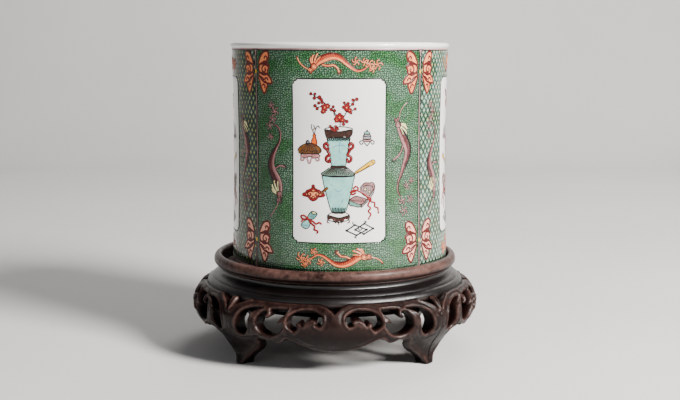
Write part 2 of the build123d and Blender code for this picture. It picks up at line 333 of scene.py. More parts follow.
def dark_wood(name, tint=1.0, gloss=0.30, rub_and_glint_amount=1.0, shine=0.14):
    """Near-black red-brown hardwood under old wax, pinkish on its edges: partly rubbed wear, partly painted
    highlight for glints on lit edges.
    """
    s = Shader(name)
    laid = s.attribute("laid")
    place = s.place()
    long_grain = s.noise(s.scaled(laid, (0.012, 0.55, 0.55)), 5.0, 8.0, 0.62, 0.6)
    fine_grain = s.noise(s.scaled(laid, (0.05, 2.6, 2.6)), 4.0, 6.0, 0.7)
    patch = s.noise(place, 26.0, 4.0, 0.6)
    grain = s.weighted(long_grain, 0.65, fine_grain, 0.35)
    body = s.ramp(grain, (0.36, (0.0012 * tint, 0.0005 * tint, 0.0005 * tint)),
                  (0.50, (0.0026 * tint, 0.0006 * tint, 0.0005 * tint)),
                  (0.66, (0.0062 * tint, 0.0013 * tint, 0.0010 * tint)))
    # paler edge colour mixed in by a per-vertex attribute and noise: partly real rubbed wear, partly painted
    # highlight standing for glints on lit edges
    wear_and_glint = s.attribute("wear_and_glint", "Fac")
    break_up = s.noise(place, 210.0, 6.0, 0.7)
    rub_and_glint_mask = s.math("MULTIPLY", wear_and_glint, s.ramp(s.weighted(break_up, 0.7, patch, 0.5), (0.46, 0.08 * rub_and_glint_amount),
                                             (0.70, rub_and_glint_amount)), clamp=True)
    edge = s.ramp(fine_grain, (0.3, (0.032, 0.012, 0.010)), (0.7, (0.150, 0.080, 0.066)))
    colour = s.mix(s.ramp(patch, (0.42, 0.0), (0.72, 0.40)), body,
                   (0.0085 * tint, 0.0017 * tint, 0.0012 * tint))
    colour = s.mix(rub_and_glint_mask, colour, edge)
    dust = s.ramp(s.noise(place, 480.0, 3.0, 0.8), (0.68, 0.0), (0.80, 0.09))
    colour = s.mix(dust, colour, (0.20, 0.165, 0.145))
    rough = s.ramp(s.weighted(fine_grain, 0.5, patch, 0.5),
                   (0.35, gloss - 0.08), (0.70, gloss + 0.16))
    pores = s.ramp(s.noise(s.scaled(laid, (0.09, 6.5, 6.5)), 6.0, 4.0, 0.75), (0.44, 0.0), (0.56, 1.0))
    normal = s.bump(pores, 0.16, 0.00022)
    normal = s.bump(s.noise(place, 95.0, 4.0, 0.55), 0.20, 0.0007, normal)
    return s.finish(Base_Color=colour, Roughness=rough, Normal=normal, Specular_IOR_Level=shine,
                    Coat_Weight=0.06, Coat_Roughness=0.12)


def plain_wood(name):
    """The stand's mostly hidden pieces: planed, hardly waxed hardwood with straight grain."""
    s = Shader(name)
    place = s.place()
    grain = s.noise(s.scaled(place, (9.0, 210.0, 210.0)), 1.0, 8.0, 0.65)
    fine = s.noise(s.scaled(place, (40.0, 1500.0, 1500.0)), 1.0, 5.0, 0.7)
    both = s.weighted(grain, 0.6, fine, 0.4)
    colour = s.ramp(both, (0.34, (0.018, 0.0085, 0.0070)), (0.52, (0.048, 0.0215, 0.0165)),
                    (0.68, (0.095, 0.046, 0.034)))
    colour = s.mix(s.ramp(s.noise(place, 60.0, 4.0), (0.50, 0.0), (0.72, 0.35)), colour,
                   (0.030, 0.020, 0.017))
    return s.finish(Base_Color=colour, Roughness=s.ramp(fine, (0.3, 0.66), (0.7, 0.86)),
                    Normal=s.bump(both, 0.35, 0.0004), Specular_IOR_Level=0.16)


def bamboo(name):
    """Split bamboo of the dowels: straw with darker fibres along it."""
    s = Shader(name)
    place = s.place()
    fibre = s.noise(s.scaled(place, (1400.0, 1400.0, 30.0)), 1.0, 4.0, 0.6)
    colour = s.ramp(fibre, (0.36, (0.30, 0.20, 0.09)), (0.60, (0.50, 0.38, 0.20)))
    return s.finish(Base_Color=colour, Roughness=s.ramp(fibre, (0.3, 0.5), (0.7, 0.66)),
                    Normal=s.bump(fibre, 0.25, 0.0002))


def glaze(name, colour_low, colour_high, gloss=0.07):
    """White porcelain under a clear glaze: faint unevenness, a few iron specks and pin holes."""
    s = Shader(name)
    place = s.place()
    cloud = s.noise(place, 14.0, 5.0, 0.55)
    colour = s.ramp(cloud, (0.32, colour_low), (0.70, colour_high))
    spots = s.node("TexVoronoi", {"feature": "F1"}, Vector=place, Scale=62.0, Randomness=1.0)
    where = s.ramp(spots.outputs["Distance"], (0.016, 1.0), (0.034, 0.0))
    some = s.ramp(s.noise(place, 31.0, 2.0), (0.60, 0.0), (0.66, 0.75))
    colour = s.mix(s.math("MULTIPLY", where, some), colour, (0.16, 0.095, 0.06))
    rough = s.ramp(s.noise(place, 90.0, 3.0), (0.3, gloss), (0.75, gloss + 0.06))
    normal = s.bump(s.noise(place, 120.0, 2.0, 0.5), 0.10, 0.0005)
    normal = s.bump(s.noise(place, 24.0, 2.0, 0.5), 0.18, 0.0016, normal)
    return s.finish(Base_Color=colour, Roughness=rough, Normal=normal, Specular_IOR_Level=0.5,
                    Coat_Weight=0.35, Coat_Roughness=0.04)


def biscuit(name):
    """Unglazed porcelain of the foot ring: matt, slightly orange where it fired, with grit."""
    s = Shader(name)
    place = s.place()
    colour = s.ramp(s.noise(place, 45.0, 6.0, 0.65), (0.30, (0.50, 0.40, 0.30)),
                    (0.55, (0.66, 0.60, 0.52)), (0.75, (0.72, 0.68, 0.61)))
    colour = s.mix(s.ramp(s.noise(place, 600.0, 3.0, 0.8), (0.62, 0.0), (0.74, 0.5)), colour,
                   (0.20, 0.13, 0.09))
    return s.finish(Base_Color=colour, Roughness=s.ramp(s.noise(place, 220.0), (0.3, 0.75), (0.7, 0.95)),
                    Normal=s.bump(s.noise(place, 900.0, 5.0, 0.7), 0.35, 0.0003))


# --- the pot's body ----------------------------------------------------------------------------
# the outer wall, as (height above the foot, distance in from the lip's radius)
BODY_KNOTS = [(3.5, 1.0), (16, 0.7), (46, 1.8), (89, 2.2), (134, 2.1), (POT_TOP - 4.6 - POT_FOOT, 1.4)]
BODY_FIT = np.polyfit([z for z, _ in BODY_KNOTS], [LIP_R - depth for _, depth in BODY_KNOTS], 4)
# sections as (distance in from the lip's radius, distance down from the top or up from the foot)
LIP = [(0.25, 3.3), (0.05, 2.0), (0.9, 0.75), (2.6, 0.1), (5.2, 0.12), (7.4, 0.9), (8.7, 2.8), (9.0, 5.5)]
HEEL = [(1.0, 3.5), (1.9, 2.2)]
FOOT_OUT = [(1.9, 2.2), (3.2, 0.5), (5.0, 0.0)]
FOOT_IN = [(62.6, 0.3), (61.4, 1.5), (60.8, 2.6)]       # here as (radius, distance up from the foot)
POT_WALL = 9.0
POT_FLOOR = 7.0         # thickness of the floor, and radius of the turn from the wall to it


def body_r(z):
    """Radius of the pot's outer wall at a height."""
    return np.polyval(BODY_FIT, np.asarray(z, float) - POT_FOOT)


def pot_wobble(angle, z):
    """The small out-of-true of a hand-made pot, as changes in radius and height."""
    lift = np.clip((z - POT_FOOT) / (POT_TOP - POT_FOOT), 0, 1)
    return 0.18 * lift * np.sin(2 * angle + 0.7), (0.35 * np.sin(angle + 2.2) - 0.30) * lift ** 3


def make_pot():
    """The glazed body, its bare foot ring and the glazed base inside the ring."""
    def foot_run(points):
        return [(LIP_R - depth, POT_FOOT + up) for depth, up in points]

    wall_z = np.linspace(POT_FOOT + 3.5, POT_TOP - 4.7, 60)
    wall = np.stack([body_r(wall_z), wall_z], 1)
    lip = smooth([(wall[-1, 0] + 0.15, POT_TOP - 4.3)] + [(LIP_R - a, POT_TOP - b) for a, b in LIP], 0.5)
    bore = LIP_R - POT_WALL
    floor_z = POT_FOOT + POT_FLOOR
    down = np.stack([np.full(40, bore), np.linspace(POT_TOP - 8.0, floor_z + POT_FLOOR + 0.5, 40)], 1)
    turn = np.linspace(0, math.pi / 2, 9)
    corner = np.stack([bore - POT_FLOOR + POT_FLOOR * np.cos(turn),
                       floor_z + POT_FLOOR - POT_FLOOR * np.sin(turn)], 1)
    floor = np.stack([np.linspace(bore - POT_FLOOR - 2, 0.0, 22), np.full(22, floor_z)], 1)
    profile = np.vstack([smooth(foot_run(HEEL), 0.4)[::-1], wall[1:], lip, down, corner, floor])
    pot = lathe("pot_porcelain", profile, [glaze("porcelain_glaze", (0.735, 0.725, 0.700),
                                                 (0.815, 0.812, 0.795))], POT_X, 480, pot_wobble,
                closed=False)
    ring = np.vstack([smooth(foot_run(FOOT_OUT), 0.4),
                      smooth([(LIP_R - 6.5, POT_FOOT), (64.0, POT_FOOT)], 2.0),
                      smooth([(r, POT_FOOT + up) for r, up in FOOT_IN], 0.4)])
    foot = lathe("pot_foot_ring", ring[::-1], [biscuit("bare_porcelain")], POT_X, 360, closed=False)
    recess_r, recess = FOOT_IN[-1]
    under = np.stack([np.linspace(0, recess_r, 16), np.full(16, POT_FOOT + recess)], 1)
    base = lathe("pot_base_glaze", under, [glaze("base_glaze", (0.66, 0.67, 0.64), (0.76, 0.77, 0.75),
                                                 0.12)], POT_X, 240, closed=False)
    for obj in (pot, foot, base):
        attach(obj, "pot")
        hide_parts("brush_pot")


# --- painting on the pot -----------------------------------------------------------------------
SEAMS = {"front": (-47.3, 44.6), "right": (44.6, 134.2), "back": (134.2, 225.6), "left": (225.6, 312.7)}
SHIFT = {"front": 1.6, "right": 0.4, "back": -0.6, "left": -0.8}    # each reserve off its panel's middle
BAND_LOW = POT_FOOT + 8.3       # lower dark line of the panels
BAND_HIGH = POT_TOP - 6.0       # their upper line
RESERVE = (35.6, POT_FOOT + 30.7, POT_FOOT + 153.0)    # half width, bottom and top
ARC_R = 86.0        # radius at which widths on the wall are measured
SKIN = 0.10         # thickness of the ground enamels
SKIRT = -0.25       # height of their edges, which are sunk into the wall
SUNK = -0.04        # height of the edges of brush work, sunk into what is below
LAYER = 0.022       # rise from one layer of brush work to the next
FLANK = 0.80        # share of a brush line's width that is flat on top
FINEST = 0.56       # added to the width of a thin line, which would vanish without it
BLUNT = (1, 1)      # ends of a brush line that doesn't taper


def on_wall(flat, lift, middle):
    """Flat millimetres (along the wall from a middle angle, height) to points on the pot."""
    flat = np.asarray(flat, float)
    angle = math.radians(middle) + flat[:, 0] / ARC_R
    dr, dz = pot_wobble(angle, flat[:, 1])
    return round_axis(body_r(flat[:, 1]) + lift + dr, angle, flat[:, 1] + dz, POT_X)


class Painting:
    """Raised enamel work gathered into one mesh: fills and brush lines in many colours."""

    def __init__(self, middle, base=0.0):
        self.middle, self.base = middle, base
        self.points, self.faces, self.colours, self.flat = [], [], [], []
        self.count = 0
        self.at()

    def at(self, x=0.0, z=0.0, flip=1, angle=0.0, size=1.0):
        """Moves the brush's own axes: later strokes are placed, flipped, turned and sized by them."""
        a = math.radians(angle)
        self.origin = np.array([x, z], float)
        self.turn = size * np.array([[math.cos(a), -math.sin(a)], [math.sin(a), math.cos(a)]]) \
            @ np.diag([flip, 1.0])

    def moved(self, points):
        return np.asarray(points, float) @ self.turn.T + self.origin

    def add(self, flat, lift, faces, colour):
        self.points.append(on_wall(flat, self.base + lift, self.middle))
        self.flat.append(flat)
        self.faces += [tuple(i + self.count for i in f) for f in faces]
        self.colours += [colour] * len(faces)
        self.count += len(flat)

    def line(self, points, width, colour, layer=3, ends=(0.5, 0.5), curved=True):
        """A brush line: rounded across, thinner towards its ends unless its width is a function."""
        pts = self.moved(points)
        run = smooth(pts, 0.55) if curved else smooth_corners(pts, 0.8)
        if len(run) < 3:
            run = smooth(pts, 0.2)
        along = run_length(run)
        along /= max(along[-1], TINY)
        if callable(width):
            half = np.array([width(t) for t in along]) / 2
        else:
            taper = np.minimum(np.minimum(ends[0] + along * 6, 1), np.minimum(ends[1] + (1 - along) * 6, 1))
            half = max(width, FINEST + 0.40 * width) / 2 * taper
        side = sideways(run, False) * half[:, None]
        n, top = len(run), 0.055 + LAYER * layer
        self.add(np.vstack([run - side, run - side * FLANK, run + side * FLANK, run + side]),
                 np.repeat([SUNK, top, top, SUNK], n), [(k + i, k + i + 1, k + n + i + 1,
                                                         k + n + i) for k in (0, n,
                                                                              2 * n) for i in range(n - 1)],
                 colour)

    def fill(self, points, colour, layer=1, outline=None, width=0.45, curved=True):
        """A closed patch of enamel, pillowed at its edge, with an optional outline."""
        pts = self.moved(points)
        loop = smooth(pts, 0.7, closed=True) if curved else smooth_corners(shut(pts), 1.5)[:-1]
        size = loop.max(0) - loop.min(0)
        way_round = 1 if signed_area(loop) > 0 else -1
        inner = loop + sideways(loop) * way_round * min(0.28, 0.2 * size.min())
        core = [inner]
        pitch = 2.6
        if size[0] > 4.5:
            start, stop = loop.min(0) + 1.0, loop.max(0)
            grid = grid_points(np.arange(start[0], stop[0], pitch),
                               np.arange(start[1], stop[1], pitch * 1.6))
            grid = grid[inside(grid, inner)]
            if len(grid):
                core.append(grid[near(grid, shut(inner)) > 0.9])
        n, top = len(loop), 0.05 + LAYER * layer
        flat, tris = triangles(np.vstack(core), ring_edges(n), inner)
        self.add(flat, np.full(len(flat), top), tris, colour)
        edge = [(i, j, n + j, n + i)[::way_round] for i, j in ring_edges(n)]
        self.add(np.vstack([loop, inner]), np.repeat([SUNK, top], n), edge, colour)
        if outline:
            axes = self.origin, self.turn
            self.at()
            run = shut(loop)
            self.line(run[::2] if len(run) > 12 else run, width, outline, layer + 2, BLUNT)
            self.origin, self.turn = axes

    def dot(self, x, z, r, colour, layer=2, tall=1.0, outline=None, width=0.3):
        """A round patch, or an upright oval one."""
        corners = 9
        a = np.arange(corners) * 2 * math.pi / corners
        self.fill(np.stack([x + r * np.cos(a), z + r * tall * np.sin(a)], 1), colour, layer, outline, width)

    def curl(self, x, z, heading, length, turn, width, colour, layer=3):
        """A brush line that winds up: its heading swings faster and faster."""
        t = np.linspace(0, 1, 14)
        head = np.radians(heading + turn * t ** 1.6)
        step = length / (len(t) - 1) * (1.25 - 0.75 * t)
        step[0] = 0.0
        self.line(np.stack([x + np.cumsum(step * np.cos(head)), z + np.cumsum(step * np.sin(head))], 1),
                  width, colour, layer, (1.0, 0.35))

    def finish(self, name, palette):
        used = sorted(set(self.colours))
        obj = new_mesh(name, np.vstack(self.points), self.faces, [palette[c] for c in used],
                       {"laid": with_depth(np.vstack(self.flat))}, [used.index(c) for c in self.colours])
        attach(obj, "pot")


# --- enamels -----------------------------------------------------------------------------------
GROUND_SHINE = {"Specular_IOR_Level": 0.5, "Coat_Weight": 0.15, "Coat_Roughness": 0.07}


def enamel(name, thin, thick, gloss=0.16, scale=0.16):
    """One overglaze colour: paler where the brush left it thin, with a soft uneven gloss."""
    s = Shader("enamel_" + name)
    laid = s.attribute("laid")
    thin, thick = (tuple(v ** 1.3 for v in c) for c in (thin, thick))
    wash = s.noise(laid, scale, 4.0, 0.6)
    streak = s.noise(s.scaled(laid, (1.0, 0.45, 1.0)), scale * 6, 3.0, 0.65)
    depth = s.weighted(wash, 0.6, streak, 0.4)
    colour = s.ramp(depth, (0.36, thin), (0.64, thick))
    rough = s.ramp(streak, (0.3, gloss), (0.7, gloss + 0.12))
    return s.finish(Base_Color=colour, Roughness=rough, Specular_IOR_Level=0.32,
                    Normal=s.bump(streak, 0.25, 0.0002), Coat_Weight=0.06, Coat_Roughness=0.08)


def make_palette():
    return {
        "red": enamel("iron_red", (0.165, 0.009, 0.006), (0.085, 0.004, 0.004), 0.32, 0.5),
        "crimson": enamel("crimson", (0.36, 0.014, 0.019), (0.19, 0.006, 0.009), 0.26, 0.5),
        "coral": enamel("coral", (0.64, 0.15, 0.055), (0.42, 0.050, 0.018), 0.28, 0.3),
        "pale_coral": enamel("pale_coral", (0.84, 0.42, 0.20), (0.68, 0.18, 0.085), 0.24, 0.25),
        "shell": enamel("shell_pink", (0.86, 0.54, 0.42), (0.74, 0.29, 0.21), 0.24, 0.25),
        "pink": enamel("pink", (0.60, 0.34, 0.34), (0.44, 0.20, 0.21), 0.2, 0.2),
        "pale_pink": enamel("pale_pink", (0.64, 0.46, 0.45), (0.52, 0.33, 0.33), 0.2, 0.2),
        "aubergine": enamel("aubergine", (0.235, 0.080, 0.080), (0.070, 0.017, 0.022), 0.14, 0.3),
        "pale_aubergine": enamel("pale_aubergine", (0.42, 0.25, 0.24), (0.26, 0.125, 0.130), 0.16, 0.3),
        "yellow": enamel("yellow", (0.80, 0.56, 0.035), (0.66, 0.40, 0.012), 0.14, 0.3),
        "cream": enamel("cream", (0.80, 0.77, 0.50), (0.70, 0.64, 0.31), 0.16, 0.3),
        "aqua": enamel("aqua", (0.37, 0.62, 0.56), (0.22, 0.46, 0.43), 0.10, 0.14),
        "sage": enamel("sage", (0.24, 0.33, 0.27), (0.085, 0.135, 0.115), 0.12, 0.5),
        "sea": enamel("sea_green", (0.22, 0.42, 0.37), (0.11, 0.27, 0.24), 0.10, 0.3),
        "blue": enamel("blue", (0.24, 0.42, 0.52), (0.09, 0.20, 0.36), 0.14, 0.3),
        "brown": enamel("brown", (0.27, 0.125, 0.030), (0.115, 0.045, 0.012), 0.18, 0.3),
        "umber": enamel("umber", (0.095, 0.048, 0.036), (0.034, 0.016, 0.014), 0.18, 0.5),
        "grey": enamel("grey", (0.42, 0.41, 0.40), (0.20, 0.19, 0.20), 0.2, 0.3),
        "white": enamel("white", (0.82, 0.80, 0.77), (0.74, 0.71, 0.68), 0.12, 0.3),
        "black": enamel("black", (0.016, 0.013, 0.012), (0.006, 0.005, 0.006), 0.24, 0.5),
        "orange": enamel("orange", (0.74, 0.20, 0.022), (0.50, 0.08, 0.008), 0.22, 0.3),
    }


def cell_ground(name, seed):
    """Green enamel over a close net of black cells, in leaf green and sea green clouds."""
    s = Shader(name)
    laid = s.scaled(s.attribute("laid"), (1.0, 1.0, 1.0), (seed * 31.0, seed * 17.0, 0.0))
    edge, which = (s.node("TexVoronoi", {"feature": feature, "voronoi_dimensions": "2D"}, Vector=laid,
                          Scale=0.60, Randomness=0.80) for feature in ("DISTANCE_TO_EDGE", "F1"))
    cells = edge.outputs["Distance"]
    centre = s.ramp(which.outputs["Distance"], (0.06, 1.0), (0.38, 0.0))
    cloud = s.noise(laid, 0.050, 3.0, 0.55)
    thin = s.noise(laid, 0.16, 4.0, 0.6)
    leaf = s.mix(thin, (0.026, 0.130, 0.032), (0.009, 0.052, 0.018))
    sea = s.mix(thin, (0.070, 0.160, 0.092), (0.024, 0.078, 0.044))
    green = s.mix(s.ramp(cloud, (0.44, 0.0), (0.60, 1.0)), sea, leaf)
    pale = s.mix(s.ramp(cloud, (0.42, 0.0), (0.60, 1.0)), (0.30, 0.42, 0.275), (0.115, 0.30, 0.100))
    odd = s.node("SeparateColor", Color=which.outputs["Color"]).outputs[0]
    green = s.mix(s.math("MULTIPLY", centre, s.math("ADD", s.math("MULTIPLY", odd, 0.75), 0.10)), green,
                  pale)
    net = s.ramp(cells, (0.090, 1.0), (0.200, 0.0))
    faded = s.ramp(s.noise(laid, 0.34, 3.0, 0.6), (0.30, 0.55), (0.60, 1.0))
    colour = s.mix(s.math("MULTIPLY", net, faded), green, (0.003, 0.007, 0.005))
    return s.finish(Base_Color=colour, Roughness=s.ramp(thin, (0.3, 0.11), (0.7, 0.24)),
                    Normal=s.bump(cells, 0.30, 0.0003), **GROUND_SHINE)

# colours of the lozenges' hearts on each trellis ground, and a scale on the green between them; the left
# panel's darker hearts and greens are painted shade, that side being away from the lamp
TRELLIS = {"right": (((0.44, 0.49, 0.41), (0.22, 0.36, 0.28), (0.46, 0.38, 0.085), (0.46, 0.26, 0.21)),
                     1.0), "left": (((0.34, 0.34, 0.20), (0.19, 0.24, 0.15), (0.42, 0.34, 0.060),
                                     (0.33, 0.19, 0.13)), 0.6)}


def trellis_ground(name, seed, hearts, shade_scale):
    """Lozenge trellis: fine black diagonals over sea green, each lozenge with a lighter heart."""
    s = Shader(name)
    laid = s.attribute("laid")
    wander = s.node("TexNoise", {"noise_dimensions": "2D"}, Vector=laid, Scale=0.11,
                    Detail=2.0).outputs["Color"]
    push = s.node("VectorMath", {"operation": "SCALE"}, i0=wander, Scale=2.2)
    bent = s.node("VectorMath", {"operation": "ADD"}, i0=laid, i1=push.outputs[0])
    parts = s.node("SeparateXYZ", Vector=bent.outputs[0])
    x = s.math("MULTIPLY", parts.outputs[0], 1 / 4.9)
    y = s.math("MULTIPLY", parts.outputs[1], 1 / 6.9)
    a = s.math("FRACT", s.math("ADD", s.math("ADD", x, y), seed * 7.3))
    b = s.math("FRACT", s.math("ADD", s.math("SUBTRACT", x, y), seed * 3.1 + 50.0))
    edge = s.math("MAXIMUM", *(s.math("ABSOLUTE", s.math("SUBTRACT", v, 0.5)) for v in (a, b)))
    bars = s.ramp(edge, (0.375, 0.0), (0.410, 1.0))
    inner = s.ramp(edge, (0.285, 0.0), (0.305, 1.0), (0.325, 1.0), (0.345, 0.0))
    heart = s.ramp(edge, (0.110, 0.9), (0.270, 0.0))
    cloud = s.noise(laid, 0.06, 3.0, 0.55)
    tint = s.noise(laid, 0.30, 2.0, 0.5)
    # the green is scaled down on the left panel: painted shade
    sea = s.ramp(cloud, *[(at, tuple(shade_scale * v for v in c)) for at, c in (
        (0.38, (0.160, 0.270, 0.215)), (0.50, (0.066, 0.165, 0.112)), (0.64, (0.030, 0.100, 0.036)))])
    pale = s.ramp(tint, *zip((0.36, 0.48, 0.56, 0.66), hearts))
    colour = s.mix(heart, sea, pale)
    dark = s.math("MAXIMUM", bars, s.math("MULTIPLY", inner, 0.50))
    colour = s.mix(dark, colour, (0.004, 0.006, 0.005))
    return s.finish(Base_Color=colour, Roughness=s.ramp(tint, (0.3, 0.11), (0.7, 0.22)),
                    Normal=s.bump(edge, 0.25, 0.0003), **GROUND_SHINE)


def reserve_loop(grow=0.0):
    """Outline of the white reserve, a tall rectangle with small stepped corners."""
    w, low, high = RESERVE[0] + grow, RESERVE[1] - grow, RESERVE[2] + grow
    corner = [(w, high - 3.9), (w - 1.0, high - 3.3), (w - 1.3, high - 1.7), (w - 3.1, high - 1.3),
              (w - 3.8, high)]
    upper = corner + [(-x, z) for x, z in corner[::-1]]
    return np.array(upper + [(-x, low + high - z) for x, z in upper])


def panel_edge(half):
    """The frame of a panel, from its lower left corner round to it again."""
    return np.array([(-half, BAND_LOW), (half, BAND_LOW), (half, BAND_HIGH), (-half, BAND_HIGH),
                     (-half, BAND_LOW)])


def ground_skin(name, middle, half, shift, material):
    """The coloured ground of one panel: a thin skin on the wall, open at the reserve."""
    outer = smooth_corners(panel_edge(half), 2.4)[:-1]
    hole = smooth_corners(shut(reserve_loop()), 2.0)[:-1] + np.array([shift, 0])
    grid = grid_points(np.arange(-half + 1.5, half, 2.4), np.arange(BAND_LOW + 2, BAND_HIGH, 3.2))
    grid = grid[~inside(grid, hole)]
    grid = grid[near(grid, shut(hole)) > 0.8]
    edges = ring_edges(len(outer)) + ring_edges(len(hole), len(outer))
    flat, tris = triangles(np.vstack([outer, hole, grid]), edges, holes=[hole])
    border, ids, index = open_edges(tris)
    total = len(flat)
    faces = [tuple(t) for t in tris] + [(b, a, total + index[a], total + index[b]) for a, b in border]
    points = np.vstack([on_wall(flat, SKIN, middle), on_wall(flat[ids], SKIRT, middle)])
    obj = new_mesh(name, points, faces, [material], {"laid": with_depth(np.vstack([flat, flat[ids]]))})
    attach(obj, "pot")


# --- motifs ------------------------------------------------------------------------------------
# the lobes and curls of a wing, as (distance from the seam, distance down from the wing's top)
WING_LOBES = [[(9.0, 22.6), (11.6, 25.4), (10.6, 28.7), (9.0, 31.6), (7.2, 31.5), (5.1, 27.6), (3.6, 23.4),
               (2.2, 19.6), (5.0, 19.6)], [(11.4, 17.7), (15.2, 21.4), (15.9, 24.3), (12.4, 24.4),
                                           (8.4, 23.6), (5.0, 21.0), (2.4, 17.2), (5.6, 16.6)],
              [(10.6, 9.0), (12.6, 10.8), (13.4, 12.4), (12.2, 14.6), (11.9, 16.8), (8.0, 18.2),
               (4.0, 16.4), (2.7, 13.4), (4.0, 10.4), (7.4, 9.0)],
              [(11.0, 0.4), (7.5, 1.5), (4.6, 4.8), (2.6, 9.9), (6.6, 10.0), (10.5, 9.5), (12.5, 6.7),
               (13.2, 3.4), (12.4, 1.0)]]
WING_CURLS = [[(7.0, 9.2), (8.6, 8.1), (10.9, 8.0), (11.8, 6.1), (10.7, 4.3), (9.0, 4.7), (8.9, 6.3)],
              [(12.7, 12.2), (10.9, 10.8), (8.2, 10.9), (6.3, 13.1), (6.9, 15.6), (9.0, 15.9), (10.0, 14.3),
               (8.8, 13.2)], [(12.6, 22.4), (11.5, 20.7), (9.7, 20.6), (9.2, 22.0)],
              [(9.0, 28.2), (8.8, 26.0), (7.3, 25.2), (6.2, 26.5)]]


def wing(p, x, z, flip, colour):
    """One of the butterfly wings of scrolls beside a seam; x is the seam, z the wing's top."""
    p.at(x, z, -flip)
    for lobe in WING_LOBES:
        p.fill([(a, -b) for a, b in lobe], colour, 1, "red", 1.6)
    for curl in WING_CURLS:
        p.line([(a, -b) for a, b in curl], 1.5, "red", 4, (1.0, 0.9))
    p.at()


def spray(p, x, z, heading, size, light, dark):
    """A tuft of fine curls, like a flame or a torn cloud: dark strokes, every other one lit along it."""
    count = 9
    for k in range(count):
        lean = heading + (k - (count - 1) / 2) * 34
        reach = size * (1.30 - 0.07 * abs(k - count // 2))
        if k % 2:
            p.curl(x, z, lean, reach * 0.80, 140, 0.30, dark, 3)
        else:
            p.curl(x, z, lean, reach, -150, 1.30, dark, 2)
            p.curl(x, z, lean, reach * 0.94, -150, 0.15, light, 5)
    p.dot(x, z, size * 0.14, dark, 5)


def dragon(p, shape, side, colours, shift=0.0, stretch=1.0, about=0.0):
    """A small lizard-like dragon: side is which way its back faces, +1 for left of its run.

    It is moved along by the shift and stretched sideways about a place of the panel.
    """
    body, pale, dark, mane = colours

    def put(points):
        pts = np.array(points, float)
        pts[:, 0] = about + (pts[:, 0] - about) * stretch + shift
        pts[:, 1] += POT_FOOT
        return pts

    spine = smooth(put(shape["spine"]), 0.5)
    length = run_length(spine)
    share = np.linspace(0, 1, len(shape["width"]))

    def width(t):
        return float(np.interp(t, share, shape["width"]))

    for x, z, heading, size in shape["sprays"]:
        (x, z), = put([(x, z)])
        spray(p, x, z, heading, size, pale, dark)
    leg = put(shape["leg"])
    p.line(leg, 2.3, dark, 1, (1.0, 0.4))
    p.line(leg, 1.2, pale, 4, (1.0, 0.3))
    heading = math.degrees(math.atan2(*(leg[-1] - leg[-2])[::-1]))
    for lean in (-60, -15, 35, 80):
        p.curl(*leg[-1], heading + lean, 3.4, 110, 0.5, dark, 3)
    p.dot(*leg[-1], 0.9, pale, 5)
    p.line(spine, lambda t: width(t) + 0.8, dark, 2)
    p.line(spine, width, body, 3)
    back = sideways(spine, False) * side
    widths = np.array([width(t) for t in length / length[-1]])
    p.line(spine - back * (widths * 0.27)[:, None], lambda t: width(t) * 0.42, pale, 4)
    p.line(spine + back * (widths * 0.40)[:, None], lambda t: width(t) * 0.16, dark, 5)
    # spines along the back, and bars across the thick of the body
    spacing = 1.6
    for k in range(1, int(length[-1] * 0.62 / spacing)):
        i = int(np.searchsorted(length, k * spacing))
        w, n = widths[i], back[i]
        p.dot(*(spine[i] + n * (w * 0.5 + 0.45)), 0.42, dark, 3)
        if w > 2.0:
            p.line([spine[i] + n * w * 0.42, spine[i] + n * w * 0.02 + 1.5 * (spine[i] - spine[i - 1])],
                   0.1, dark, 6)
    # head, mane and whisker, drawn along the way the neck points
    ahead = spine[0] - spine[3]
    p.at(*spine[0], 1, math.degrees(math.atan2(ahead[1], ahead[0])), width(0.0) / 3.2)
    up = -side
    head = [(-1.2, -1.7), (1.0, -2.0), (2.6, -1.5), (4.6, -1.7), (5.2, -0.8), (4.2, 0.0), (4.9, 1.0),
            (3.6, 1.7), (1.8, 1.3), (0.2, 1.9), (-1.4, 1.5)]
    locks = ((-0.6, 1.8, 126, 7.4, 56), (-1.6, 1.2, 146, 8.6, 36), (-0.2, 2.0, 104, 5.6, 80),
             (-2.0, 0.6, 166, 7.0, 30))
    for k, (x0, y0, angle, reach, bend) in enumerate(locks):
        p.curl(x0, y0 * up, angle * up, reach, bend * up, 2.1 - 0.2 * k, dark, 4 + k // 2)
        p.curl(x0, y0 * up, angle * up, reach * 0.96, bend * up, 1.45 - 0.2 * k, mane, 6)
    p.fill([(x, y * up) for x, y in head], pale, 5, dark, 0.5)
    p.line([(-1.0, 1.0 * up), (0.8, 1.0 * up), (2.6, 0.5 * up), (4.2, 0.6 * up)], 0.6, body, 8)
    p.line([(0.4, -1.1 * up), (2.6, -0.8 * up), (4.6, -1.0 * up)], 0.3, dark, 8)
    p.dot(1.7, 0.6 * up, 0.62, "cream", 8, 1.0, dark, 0.3)
    p.dot(1.8, 0.6 * up, 0.26, "black", 11)
    p.at()
    whisker = put(shape["whisker"])
    p.line(whisker, 1.15, dark, 3, (1.0, 0.6))
    p.line(whisker, 0.6, pale, 5, (1.0, 0.6))
    p.dot(*whisker[-1], 0.95, dark, 4)


def blossom(p, x, z, r, colour, turn=0.0):
    """Five round petals about a yellow eye."""
    for k in range(5):
        a = math.radians(turn + 72 * k)
        p.dot(x + r * 0.60 * math.cos(a), z + r * 0.60 * math.sin(a), r * 0.50, "red", 2)
        p.dot(x + r * 0.56 * math.cos(a), z + r * 0.56 * math.sin(a), r * 0.34, colour, 6)
    p.dot(x, z, r * 0.24, "pale_coral", 8)


